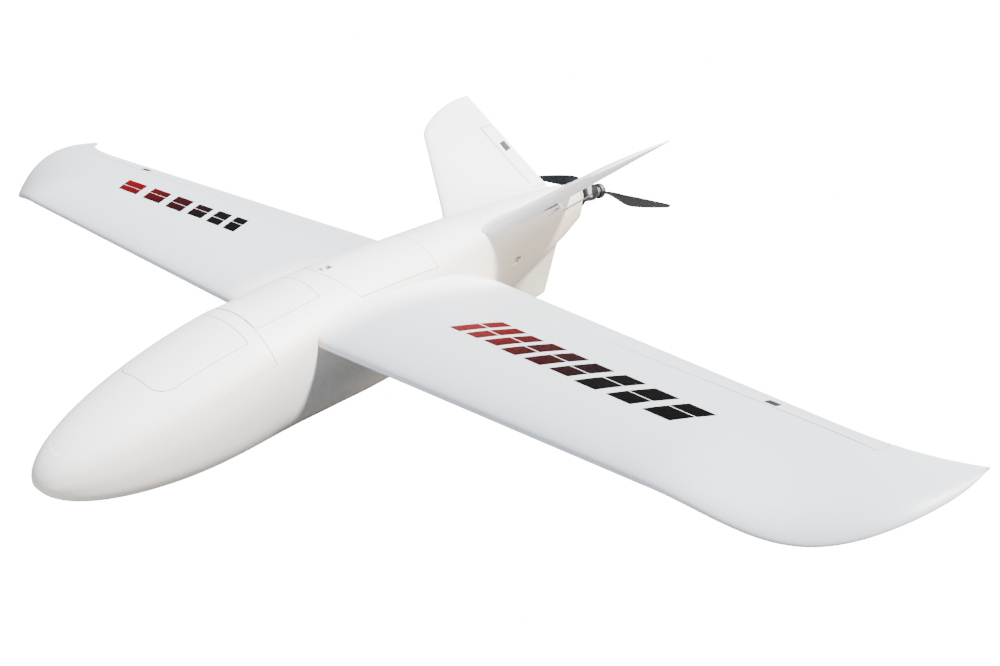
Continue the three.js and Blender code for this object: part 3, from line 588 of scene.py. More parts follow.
@dataclass(frozen=True)
class Woven:
    """A woven face: carbon cloth or hook and loop webbing."""

    name: str
    warp: tuple
    weft: tuple
    roughness: float
    pitch: float
    coat: float = 0.0

    def build(self) -> bpy.types.Material:
        """The material."""
        shader = Shader(self.name, self.roughness, coat=self.coat)
        check = shader.node("ShaderNodeTexChecker", Scale=1 / (self.pitch * MM))
        check.inputs["Color1"].default_value = (*self.warp, 1.0)
        check.inputs["Color2"].default_value = (*self.weft, 1.0)
        shader.link(shader.node("ShaderNodeTexCoord").outputs["Object"], check.inputs["Vector"])
        shader.colour(check.outputs["Color"])
        shader.bump(check.outputs["Fac"], 0.4, 0.1)
        return shader.material


@dataclass(frozen=True)
class Decal:
    """Printed film that runs from one colour to another along X."""

    name: str
    start: tuple
    middle: tuple
    end: tuple
    from_x: float
    to_x: float
    shine: float = 0.05

    def build(self) -> bpy.types.Material:
        """The material."""
        shader = Shader(self.name, 0.5)
        shader.surface.inputs["Specular IOR Level"].default_value = self.shine
        along = shader.node("ShaderNodeMapRange", From_Min=self.from_x * MM, From_Max=self.to_x * MM)
        shader.link(shader.apart("Object")["X"], along.inputs["Value"])
        shader.colour(shader.ramp(along.outputs["Result"],
                                  [(0.0, self.start), (0.5, self.middle), (1.0, self.end)]))
        grain = shader.group("grain", Scale=900.0)
        shader.bump(grain.outputs["Height"], 0.1, 0.04)
        return shader.material


# ---------------------------------------------------------------- registering pieces
class Fitter:
    """Dresses each finished piece, hangs it on its body and hides the CAD nodes that it stands for."""

    def __init__(self, finishes: dict) -> None:
        """Builds each finish once."""
        self.materials = {key: finish.build() for key, finish in finishes.items()}

    def fit(self, piece: Piece, body: str, finish: str, slot: str, *nodes: str,
            sharp: float = 32.0) -> Piece:
        """Finishes a piece and puts it in the frame.

        Args:
            piece: the object.
            body: the CAD body that it moves with.
            finish: its finish.
            slot: the record's material slot, not used.
            nodes: the CAD nodes that it stands for.
            sharp: the angle in degrees over which an edge shades sharp.

        Returns:
            The piece.
        """
        piece.data.materials.clear()
        piece.data.materials.append(self.materials[finish])
        piece.data.shade_smooth()
        piece.data.set_sharp_from_angle(angle=math.radians(sharp))
        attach(piece, body)
        if nodes:
            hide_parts(*nodes)
        LOG.info("%s rides on %s, %d faces", piece.name, body, len(piece.data.polygons))
        return piece

    def both_sides(self, piece: Piece, body: str, finish: str, slot: str, *nodes: str,
                   sharp: float = 32.0) -> None:
        """Fits a left piece and its mirrored copy on the right. Names end in the side."""
        stem = piece.name
        twin = duplicate(piece, f"{stem}_{Side.RIGHT.value}", mirrored=True)
        piece.name = f"{stem}_{Side.LEFT.value}"
        for side, made in ((Side.LEFT, piece), (Side.RIGHT, twin)):
            where = body if body in frame["bodies"] else f"{body}_{side.value}"
            self.fit(made, where, finish, slot, *[f"{n}_{side.value}" for n in nodes], sharp=sharp)

    def dress_node(self, node: str, finish: str) -> None:
        """Gives a CAD node that stays in view its finish."""
        shown = frame["nodes"][node]
        shown.data.materials.clear()
        shown.data.materials.append(self.materials[finish])
        LOG.info("%s keeps its CAD shape", node)


# ---------------------------------------------------------------- fuselage
@dataclass
class Fuselage:
    """The moulded fuselage: two halves, a nose cover and three hatches."""

    nose_reach: float = 282.0
    nose_end: float = -58.0
    nose_drop: float = 67.0
    tail_reach: float = 515.0
    belly: float = 94.0
    wall: float = 12.0
    cavity: tuple = (-232.0, 330.0)
    upper_power: float = 2.1
    lower_power: float = 2.5
    nose_power: float = 3.3
    seam: float = 0.75
    cover_seam: float = 0.2
    cover_line: tuple = ((-58.0, 2.0), (-290.0, -45.0))
    stations: tuple = ((-58, 37, -96, 79.5, -36), (20, 48, -96, 77, -33), (90, 54, -96, 74, -28),
                       (190, 57, -89, 69, -18), (280, 61, -69, 56, -8), (380, 62, -45, 42, 6),
                       (478, 60, -17, 24, 18), (515, 54, 1, 19.5, 28))
    front_hatch: tuple = ((40.0, 45.0), (-172.0, -73.0), (20.0, 3.0))
    centre_hatch: tuple = ((36.0, 36.0), (-57.0, 27.0), (4.0, 4.0))
    rear_hatch: tuple = (52.0, 53.0, 190.0, 18.0)
    outlet: tuple = (342.0, 2.0)
    outlet_hole: tuple = (7.0, 2.0, 2.6, 26.0)
    scoop_run: float = 24.0
    scoop_radius: float = 6.0
    tail_slot: tuple = (31.0, 440.0, 37.0)
    lids: tuple = (-30.0, 140.0)
    beyond: float = 20.0

    def section(self, y: float) -> tuple[float, float, float, float]:
        """Top, bottom, half width and height of the widest place at y."""
        if y < self.nose_end:
            _, top, bottom, half, waist = self.stations[0]
            t = clamp01((y + self.nose_reach) / (self.nose_end + self.nose_reach))

            def blunt(share: float, a: float, b: float) -> float:
                """A quantity that grows bluntly from the tip."""
                return share * (1 - (1 - t) ** a) ** (1 / b)

            tip = -self.nose_drop
            return (tip + blunt(top - tip, 1.15, 1.65), tip + blunt(bottom - tip, 3, 2),
                    blunt(half, 2.4, 2.1), tip + (waist - tip) * t)
        rows = self.stations
        k = 0
        while k < len(rows) - 2 and y > rows[k + 1][0]:
            k += 1
        before, a, b, after = rows[max(k - 1, 0)], rows[k], rows[k + 1], rows[min(k + 2, len(rows) - 1)]
        span = b[0] - a[0]
        t = clamp01((y - a[0]) / span)

        def value(c: int) -> float:
            """One quantity by a curve through the stations."""
            m1 = (b[c] - a[c]) / span * 0.5 if k == 0 else (b[c] - before[c]) / (b[0] - before[0])
            m2 = (b[c] - a[c]) / span if after is b else (after[c] - a[c]) / (after[0] - a[0])
            return ((2 * t ** 3 - 3 * t ** 2 + 1) * a[c] + (t ** 3 - 2 * t ** 2 + t) * span * m1
                    + (3 * t ** 2 - 2 * t ** 3) * b[c] + (t ** 3 - t ** 2) * span * m2)

        return value(1), value(2), value(3), value(4)

    def lower(self, y: float) -> float:
        """Roundness of the lower half of the section at y."""
        ahead = smooth(-y, -self.nose_end - 40, -self.nose_end + 120)
        return mix(self.lower_power, self.nose_power, ahead)

    def ring(self, y: float, inset: float, count: int) -> np.ndarray:
        """The section at y as a closed ring of points."""
        top, bottom, half, waist = self.section(y)
        angle = np.arange(count) / count * 2 * math.pi + math.pi / 2
        c, s = np.cos(angle), np.sin(angle)
        power = np.where(s >= 0, 2 / self.upper_power, 2 / self.lower(y))
        x = max(half - inset, 0.6) * np.sign(c) * np.abs(c) ** power
        tall = np.where(s >= 0, max(top - inset - waist, 0.6), max(waist - bottom - inset, 0.6))
        z = waist + tall * np.sign(s) * np.abs(s) ** power
        return np.stack([x, np.full(count, y), np.maximum(z, -self.belly + inset)], 1)

    def side_at(self, y: float, z: float) -> float:
        """Half width of the skin at y and height z."""
        top, bottom, half, waist = self.section(y)
        tall, power = (top - waist, self.upper_power) if z >= waist else (waist - bottom, self.lower(y))
        return half * (1 - clamp01(abs(z - waist) / tall) ** power) ** (1 / power)

    def height_at(self, x: float, y: float) -> float:
        """Height of the upper skin at x and y."""
        top, _, half, waist = self.section(y)
        power = self.upper_power
        return waist + (top - waist) * (1 - clamp01(abs(x) / half) ** power) ** (1 / power)

    def skin(self, name: str, inset: float, start: float, end: float, nose: int, body: int,
             count: int) -> Piece:
        """A closed skin through the sections from start to end."""
        reach = start - self.nose_end
        ahead = [self.nose_end + reach * math.cos(i / nose * math.pi / 2) for i in range(nose)]
        behind = np.linspace(self.nose_end, end, body + 1).tolist()
        return loft(name, [self.ring(y, inset, count) for y in ahead + behind])

    def rounded(self, halves: tuple, ends: tuple, radii: tuple, grow: float) -> list:
        """A hatch outline with rounded corners."""
        outline = []
        for half, edge, radius, inward, side, start in (
                (halves[0], ends[0], radii[0], 1, 1, -90), (halves[1], ends[1], radii[1], -1, 1, 0),
                (halves[1], ends[1], radii[1], -1, -1, 90), (halves[0], ends[0], radii[0], 1, -1, 180)):
            for i in range(13):
                a = math.radians(start + i / 12 * 90)
                outline.append((side * (half - radius) + (radius + grow) * math.cos(a),
                                edge + inward * radius + (radius + grow) * math.sin(a)))
        return outline

    def bowed(self, grow: float) -> list:
        """The rear hatch's outline, whose front edge is bowed forward."""
        half, front, rear, bow = self.rear_hatch
        edge = np.linspace(-(half + grow), half + grow, 33)
        return ([(x, front - grow + bow * (x / half) ** 2) for x in edge]
                + [(half + grow, rear + grow), (-half - grow, rear + grow)])

    def outlines(self, grow: float) -> dict:
        """Each hatch's outline."""
        return {"front_hatch": self.rounded(*self.front_hatch, grow),
                "centre_hatch": self.rounded(*self.centre_hatch, grow),
                "rear_hatch": self.bowed(grow)}

    def cover_region(self, grow: float) -> Piece:
        """The space above the line where the nose cover meets the lower nose."""
        (rear_y, rear_z), (front_y, front_z) = self.cover_line
        rear_y += math.copysign(self.seam / 2, grow)
        high = self.lids[1]
        outline = [(rear_y, high), (rear_y, rear_z - grow), (front_y, front_z - grow), (front_y, high)]
        return plate(outline, -high, high)

    def latch_slot(self) -> Piece:
        """The slot of the rear hatch's latch."""
        front = self.rear_hatch[1]
        return block((-4.3, front + 5, 20), (4.3, front + 19.5, 90))

    def outlet_cutters(self) -> list:
        """The air outlet in the rear side: a deep oval hole at the end of a shallow scoop."""
        y, z = self.outlet
        long, lean, tall, deep = self.outlet_hole
        turn = np.linspace(0, TAU, 33)[:-1]
        hole, scoop = [], []
        for depth in (-deep, self.beyond):
            x = self.side_at(y, z) + depth
            hole.append([(x, y + long * math.cos(t) + lean * math.sin(t), z + tall * math.sin(t))
                         for t in turn])
        for share in np.linspace(0, 1, 12):
            along, level = y - self.scoop_run * (1 - share), z - 6 + 5 * share
            middle = self.side_at(along, level) + self.scoop_radius - 2.6 * share
            scoop.append([(middle + self.scoop_radius * math.cos(t), along,
                           level + mix(2.5, 6.0, share) * math.sin(t)) for t in turn])
        return [loft("cutter", hole), loft("cutter", scoop)]

    def tail_slot_cutter(self) -> Piece:
        """The deep slot under the fin root where the cable leaves."""
        x, y, z = self.tail_slot
        outline = [(y - 17, z - 1.6), (y, z - 2.0), (y + 16, z + 1.2), (y + 15, z + 3.6), (y - 2, z + 3.2),
                   (y - 16, z + 0.8)]
        return plate(outline, x - 26, x + 30)

    def build(self, fitter: Fitter, fairing: "WingRoot") -> None:
        """Makes and fits every moulded fuselage piece."""
        shell = self.skin("fuselage", 0, -self.nose_reach, self.tail_reach, 44, 130, 168)
        carve(shell, self.skin("cutter", self.wall, *self.cavity, 10, 36, 64))
        for name, outline in self.outlines(-self.seam / 2).items():
            lid = carve(duplicate(shell, name), prism(outline, *self.lids), Cut.KEEP)
            if name == "rear_hatch":
                carve(lid, self.latch_slot())
            lid.name = f"{name}_lid"
            fitter.fit(lid, name, "body_foam", "body_foam", name)
        for outline in self.outlines(self.seam / 2).values():
            carve(shell, prism(outline, *self.lids))
        cover = carve(duplicate(shell, "nose_shell"), self.cover_region(-self.cover_seam / 2), Cut.KEEP)
        fitter.fit(cover, "airframe", "body_foam", "body_foam", "nose_cover")
        carve(shell, self.cover_region(self.cover_seam / 2))
        half = carve(shell, block((0.06, -400, -200), (200, 700, 200)), Cut.KEEP)
        for cutter in self.outlet_cutters():
            carve(half, cutter)
        carve(half, self.tail_slot_cutter())
        both = joined("fuselage_half", [half, fairing.build()])
        fitter.both_sides(both, "airframe", "body_foam", "body_foam", "fuselage")


# ---------------------------------------------------------------- lifting surfaces
SKIN = 0.8
WEB_DROP = 0.35


@dataclass(frozen=True)
class Aerofoil:
    """A wing section."""

    thickness: float
    camber: float
    least: float

    def half_thickness(self, t: float) -> float:
        """Half thickness at a share of the chord, for a section of thickness one."""
        return 5 * (0.2969 * math.sqrt(t) - 0.126 * t - 0.3516 * t ** 2 + 0.2843 * t ** 3 - 0.1036 * t ** 4)

    def mean_line(self, t: float) -> float:
        """Height of the mean line, for a camber of one."""
        return (0.8 * t - t * t) / 0.16 if t < 0.4 else (0.2 + 0.8 * t - t * t) / 0.36

    def rise(self, t: float, side: int, chord: float) -> float:
        """Height of a face over the chord line."""
        edge = 0.5 * self.least * smooth(t, 0.0, 0.3)
        thick = max(self.half_thickness(t) * self.thickness * chord, edge)
        return self.mean_line(t) * self.camber * chord + side * thick

    def shares(self, count: int) -> list:
        """Shares of the chord and sides, from the trailing edge over the top and back underneath."""
        steps = [(1 - math.cos(i / count * math.pi)) / 2 for i in range(count + 1)]
        return [(t, 1) for t in reversed(steps[1:])] + [(0.0, 1)] + [(t, -1) for t in steps[1:]]

    def ring(self, le: np.ndarray, te: np.ndarray, up: np.ndarray, count: int = 44,
             dip: float = 0.0) -> np.ndarray:
        """The closed section between two edges, with its leading edge drooped by dip."""
        chord = te - le
        length = float(np.linalg.norm(chord))
        return np.array([le + chord * t + up * (self.rise(t, side, length) - dip * (1 - t) ** 2)
                         for t, side in self.shares(count)])


@dataclass(frozen=True)
class Hinge:
    """A hinge line: its own X runs outboard along the line, Y aft and Z out of the upper face."""

    place: np.ndarray
    length: float
    deep: float = 40.0
    line: float = 0.3

    @staticmethod
    def between(inner: np.ndarray, outer: np.ndarray, up: np.ndarray) -> "Hinge":
        """The hinge through two points."""
        along = unit(outer - inner)
        aft = unit(np.cross(up, along))
        place = np.eye(4)
        place[:3, :3] = np.stack([along, aft, np.cross(along, aft)], 1)
        place[:3, 3] = inner
        return Hinge(place, float(np.linalg.norm(outer - inner)))

    def slid(self, x: float) -> np.ndarray:
        """The hinge's frame moved along the hinge."""
        shift = np.eye(4)
        shift[0, 3] = x
        return self.place @ shift

    def slot(self, gap: float, depth: float) -> Piece:
        """The space that the moving surface is cut out of."""
        return block((-gap, -self.line, -self.deep), (self.length + gap, depth, self.deep), self.place)

    def wedge(self, depth: float, travel: float) -> Piece:
        """The space that the moving surface keeps. Its front slopes back above and below the hinge."""
        back = self.line + self.deep * math.tan(math.radians(travel + 3))
        high = self.deep
        outline = [(back, high), (self.line, 0), (back, -high), (depth, -high), (depth, high)]
        return plate(outline, 0, self.length, self.place)

    def web(self, name: str, drop: float) -> Piece:
        """The thin foam web that joins the two surfaces at the hinge."""
        upper = [(y, -drop) for y in (-1.6, -0.6, 0.6, 1.6)]
        across = upper + [(y, z - 1) for y, z in reversed(upper)]
        rings = [[(x, y, z) for y, z in across] for x in np.linspace(1, self.length - 1, 30)]
        return loft(name, rings, self.place)


@dataclass(frozen=True)
class Linkage:
    """Sizes that the servo pocket is cut to."""

    length: float = 23.0
    thick: float = 12.0
    height: float = 20.0
    shaft_back: float = 6.0
    gap: float = 0.5
    bay_front: float = 5.0
    bay_rear: float = 8.0
    bay_width: float = 5.6
    below: float = 60.0

    def pocket(self, run: float, depth: float, place: np.ndarray) -> list:
        """Cutters for the servo and the bay of its arm, open underneath."""
        front = -run - self.length + self.shaft_back
        rear = front + self.length + self.gap
        top = -depth + self.thick / 2 + self.gap
        arm = rear - 2 * self.shaft_back - self.bay_front
        return [block((-self.height - 1 - self.gap, front - self.gap, -self.below), (0, rear, top), place),
                block((-self.gap, arm, -self.below), (self.bay_width, rear + self.bay_rear, top - 1), place)]


@dataclass
class Wing:
    """The left wing panel with its aileron. The right one is its mirror image."""

    root_x: float = 104.0
    root_chord: float = 306.0
    root_drop: float = 18.6
    le_sweep: float = -0.063
    te_sweep: float = -0.288
    le_rise: float = 0.079
    te_rise: float = 0.117
    tip_start: float = 480.0
    flare_start: float = 540.0
    flare: float = 59.0
    flare_power: float = 2.8
    tip_chord: float = 5.0
    droop: float = 27.0
    tip_fall: float = 16.8
    half_span: float = field(default_factory=lambda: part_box("wing_left")[1].x / MM)
    section: Aerofoil = Aerofoil(0.115, 0.025, 2.4)
    aileron: tuple = (300.0, 603.0)
    aileron_share: float = 0.165
    travel: float = 25.0
    servo_x: float = 430.0
    servo_run: float = 82.0
    servo_depth: float = 7.5
    cut_depth: float = 90.0
    cut_gap: float = 1.0
    linkage: Linkage = Linkage()

    def dip(self, x: float) -> float:
        """Droop of the leading edge at x."""
        tip = clamp01((x - self.tip_start) / (self.half_span - self.tip_start))
        return self.droop * max(math.sin(math.pi * tip ** 1.4), 0.0) ** 1.3

    def edges(self, x: float) -> tuple[np.ndarray, np.ndarray]:
        """Leading and trailing edge at x, before the droop."""
        tip = clamp01((x - self.tip_start) / (self.half_span - self.tip_start))
        flare = clamp01((x - self.flare_start) / (self.half_span - self.flare_start))
        corner = self.root_chord + self.te_sweep * self.half_span + self.flare
        straight = self.le_sweep * min(x, self.tip_start)
        curl = 1 - (1 - tip ** 1.9) ** (1 / 2.4)
        le = np.array([x, straight + (corner - self.tip_chord - straight) * curl,
                       self.le_rise * x - self.tip_fall * 0.4 * flare ** 2.6])
        te = np.array([x, self.root_chord + self.te_sweep * x + self.flare * flare ** self.flare_power,
                       self.te_rise * x - self.root_drop - self.tip_fall * flare ** 2.6])
        return le, te

    def ring(self, x: float) -> np.ndarray:
        """The section at x."""
        return self.section.ring(*self.edges(x), UP, dip=self.dip(x))

    def at(self, x: float, share: float, side: int = 1) -> np.ndarray:
        """A point on the upper or lower face."""
        le, te = self.edges(x)
        chord = te - le
        rise = self.section.rise(share, side, float(np.linalg.norm(chord))) - self.dip(x) * (1 - share) ** 2
        return le + chord * share + UP * rise

    def panel(self) -> Piece:
        """The whole panel, aileron included."""
        inboard = np.linspace(self.root_x + 0.1, self.tip_start, 40)[:-1].tolist()
        swing = [self.tip_start + (self.half_span - self.tip_start) * math.sin(i / 44 * math.pi / 2)
                 for i in range(45)]
        return loft("wing_panel", [self.ring(x) for x in inboard + swing])

    def hinge(self) -> Hinge:
        """The aileron's hinge line, just under the upper face."""
        share = 1 - self.aileron_share
        inner, outer = (self.at(x, share) - UP * SKIN for x in self.aileron)
        return Hinge.between(inner, outer, UP)

    def build(self, fitter: Fitter) -> None:
        """Makes and fits both wings and their ailerons, and makes the foam webs of the hinges."""
        hinge = self.hinge()
        panel = self.panel()
        flap = carve(duplicate(panel, "aileron_foam"), hinge.wedge(self.cut_depth, self.travel), Cut.KEEP)
        carve(panel, hinge.slot(self.cut_gap, self.cut_depth))
        place = hinge.slid(self.servo_x - self.aileron[0])
        for cutter in self.linkage.pocket(self.servo_run, self.servo_depth, place):
            carve(panel, cutter)
        fitter.both_sides(panel, "airframe", "wing_foam", "wing_foam", "wing")
        fitter.both_sides(flap, "aileron", "wing_foam", "wing_foam", "aileron")
        fit_webs(hinge, "aileron", fitter)


def fit_webs(hinge: Hinge, surface: str, fitter: Fitter) -> None:
    """Makes the hinge webs of a surface on both sides, in wing foam, between the airframe and the surface."""
    left = hinge.web(f"{surface}_hinge_web_{Side.LEFT.value}", WEB_DROP - SKIN)
    right = duplicate(left, f"{surface}_hinge_web_{Side.RIGHT.value}", mirrored=True)
    aft = hinge.place[:3, 1]
    middle = hinge.place[:3, 3]
    for side, web in ((Side.LEFT, left), (Side.RIGHT, right)):
        flip = np.array([1 if side is Side.LEFT else -1, 1, 1])
        web.data.materials.append(fitter.materials["wing_foam"])
        web.data.shade_smooth()
        ends = [((middle + aft * reach) * flip + DATUM) * MM for reach in (-1.0, 1.0)]
        tuple(ends[0])
        tuple(ends[1])
        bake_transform(web)
        LOG.info("%s bends at the hinge", web.name)


@dataclass
class WingRoot:
    """The moulded fairing that carries the fuselage skin out into the left wing."""

    wing: Wing
    fuselage: Fuselage
    height: float = 26.0
    width: float = 40.0
    sink: float = 1.2
    hatch_edge: float = 54.5

    def crossing(self, share: float, side: int) -> float:
        """Where a spanwise line on the wing enters the fuselage."""
        low, high = 20.0, self.wing.root_x
        for _ in range(30):
            x = (low + high) / 2
            point = self.wing.at(x, share, side)
            low, high = (low, x) if x > self.fuselage.side_at(point[1], point[2]) else (x, high)
        return high

    def line(self, share: float, side: int, steps: int) -> np.ndarray:
        """One spanwise line of the fairing, from the wing panel to under the fuselage skin."""
        x0 = self.crossing(share, side)
        corner = self.wing.at(x0, share, side)
        fade = math.sin(math.pi * clamp01(share * 1.02)) ** 0.6
        if side > 0:
            reach = min(self.width * fade + 4, self.wing.root_x - x0 - 2)
            roof = self.fuselage.height_at(self.hatch_edge, corner[1])
            z = min(corner[2] + self.height * fade + 1, max(roof, corner[2] + 1))
        else:
            reach = min(10 * fade + 4, self.wing.root_x - x0 - 2)
            z = corner[2] - 8 * fade - 0.5
        far = self.wing.at(x0 + reach, share, side)
        near = np.array([self.fuselage.side_at(corner[1], z) - self.sink, corner[1], z])
        outer = [self.wing.at(mix(self.wing.root_x, x0 + reach, i / 8), share, side) for i in range(8)]
        curve = [far * (1 - t) ** 2 + corner * 2 * t * (1 - t) + near * t * t
                 for t in np.linspace(0, 1, steps)]
        return np.array(outer + curve)

    def build(self) -> Piece:
        """The fairing as a closed solid whose inner end is buried in the foam wall."""
        lines = [self.line(t, side, 20) for t, side in self.wing.section.shares(44)]
        return loft("wing_fairing", np.stack(lines, 1))


@dataclass
class TailFin:
    """The left fin of the V tail with its ruddervator."""

    root_x: float = 22.0
    root_z: float = 51.0
    tip_x: float = 172.0
    shoulder_x: float = 138.0
    cant: float = math.radians(35.2)
    incidence: float = math.radians(3)
    le: tuple = (281.0, 357.0)
    te: tuple = (488.0, 479.0)
    tip_chord: float = 5.0
    section: Aerofoil = Aerofoil(0.085, 0.0, 2.2)
    ruddervator: tuple = (28.0, 123.0)
    chord: float = 28.0
    travel: float = 25.0
    servo_x: float = 62.0
    servo_run: float = 60.0
    servo_depth: float = 7.0
    hinge_height: float = 2.6
    cut_depth: float = 60.0
    cut_gap: float = 1.0
    buried: float = 10.0
    flare: float = 34.0
    linkage: Linkage = Linkage()

    @property
    def up(self) -> np.ndarray:
        """Out of the upper face."""
        return np.array([-math.sin(self.cant), 0.0, math.cos(self.cant)])

    def edges(self, x: float) -> tuple[np.ndarray, np.ndarray]:
        """Leading and trailing edge at x."""
        line = self.le[0] + (self.le[1] - self.le[0]) * (x - self.root_x) / (self.shoulder_x - self.root_x)
        tip = clamp01((x - self.shoulder_x) / (self.tip_x - self.shoulder_x))
        z = self.root_z + math.tan(self.cant) * (x - self.root_x)
        rear = self.te[0] + (self.te[1] - self.te[0]) * (x - self.root_x) / (self.tip_x - self.root_x)
        front = line + (rear - self.tip_chord - line) * (1 - (1 - tip ** 1.6) ** 0.5)
        return np.array([x, front, z - (rear - front) * math.tan(self.incidence)]), np.array([x, rear, z])

    def ring(self, x: float) -> np.ndarray:
        """The section at x, which swells forward into the fuselage at its root."""
        le, te = self.edges(x)
        root = clamp01(1 - (x - self.root_x + self.buried) / self.flare) ** 2
        le = le - np.array([0.0, 20 * root, 0.0])
        fat = Aerofoil(self.section.thickness * (1 + 0.9 * root), 0.0, self.section.least * (1 + root))
        return fat.ring(le, te, self.up)

    def hinge(self) -> Hinge:
        """The ruddervator's hinge line."""
        def point(x: float) -> np.ndarray:
            """The hinge at x."""
            le, te = self.edges(x)
            return te + unit(le - te) * self.chord + self.up * self.hinge_height
        return Hinge.between(point(self.ruddervator[0]), point(self.ruddervator[1]), self.up)

    def build(self, fitter: Fitter) -> None:
        """Makes and fits both fins and their ruddervators, and makes the foam webs of the hinges."""
        start = self.root_x - self.buried
        inboard = (np.linspace(0, 1, 34)[:-1] ** 1.3 * (self.shoulder_x - start) + start).tolist()
        reach = self.tip_x - self.shoulder_x
        swing = [self.shoulder_x + reach * math.sin(i / 26 * math.pi / 2) for i in range(27)]
        fin = loft("tail_fin_foam", [self.ring(x) for x in inboard + swing])
        hinge = self.hinge()
        flap = carve(duplicate(fin, "ruddervator_foam"), hinge.wedge(self.cut_depth, self.travel), Cut.KEEP)
        carve(fin, hinge.slot(self.cut_gap, self.cut_depth))
        place = hinge.slid((self.servo_x - self.ruddervator[0]) / math.cos(self.cant))
        for cutter in self.linkage.pocket(self.servo_run, self.servo_depth, place):
            carve(fin, cutter)
        fitter.both_sides(fin, "airframe", "tail_foam", "tail_foam", "tail_fin")
        fitter.both_sides(flap, "ruddervator", "tail_foam", "tail_foam", "ruddervator")
        fit_webs(hinge, "ruddervator", fitter)


@dataclass
class KeelFin:
    """The keel fin under the rear fuselage: a rounded plate that the aircraft also stands on."""

    fuselage: Fuselage
    front: float = 318.0
    foot: tuple = (400.0, 460.0)
    rear: float = 492.0
    foot_height: float = -94.0
    front_height: float = -68.0
    rear_height: float = -8.0
    half: float = 5.5
    gap: float = 0.8

    def extent(self, z: float) -> tuple[float, float]:
        """Front and rear of the fin at height z."""
        down = clamp01((self.front_height - z) / (self.front_height - self.foot_height))
        up = (z - self.foot_height) / (self.rear_height - self.foot_height)
        return mix(self.front, self.foot[0], down), mix(self.foot[1] + 3, self.rear, up)

    def ring(self, z: float) -> list:
        """The section at height z, with a round front and a tapered rear."""
        front, rear = self.extent(z)
        squeeze = math.sqrt(clamp01((z - self.foot_height + 0.6) / 3.0))
        half = self.half * mix(0.72, 1.0, squeeze)
        count = 72
        ring = []
        for i in range(count):
            t = i / count * 2 * math.pi
            along = (1 - math.cos(t)) / 2
            wide = math.copysign(abs(math.sin(t)) ** 0.35, math.sin(t))
            wide *= 1 - 0.55 * smooth(along, 0.72, 1.0)
            ring.append((half * wide, mix(front, rear, along), z))
        return ring

    def build(self, fitter: Fitter) -> None:
        """Makes and fits the keel fin."""
        low = np.linspace(0, 1, 10) ** 1.6 * 4 + self.foot_height
        high = np.linspace(self.foot_height + 6, self.rear_height, 34)
        keel = loft("keel_foam", [self.ring(z) for z in [*low, *high]])
        body = self.fuselage
        carve(keel, body.skin("cutter", -self.gap, -body.nose_reach, body.tail_reach, 12, 90, 120))
        fitter.fit(keel, "airframe", "keel_foam", "body_foam", "keel_fin", sharp=50)


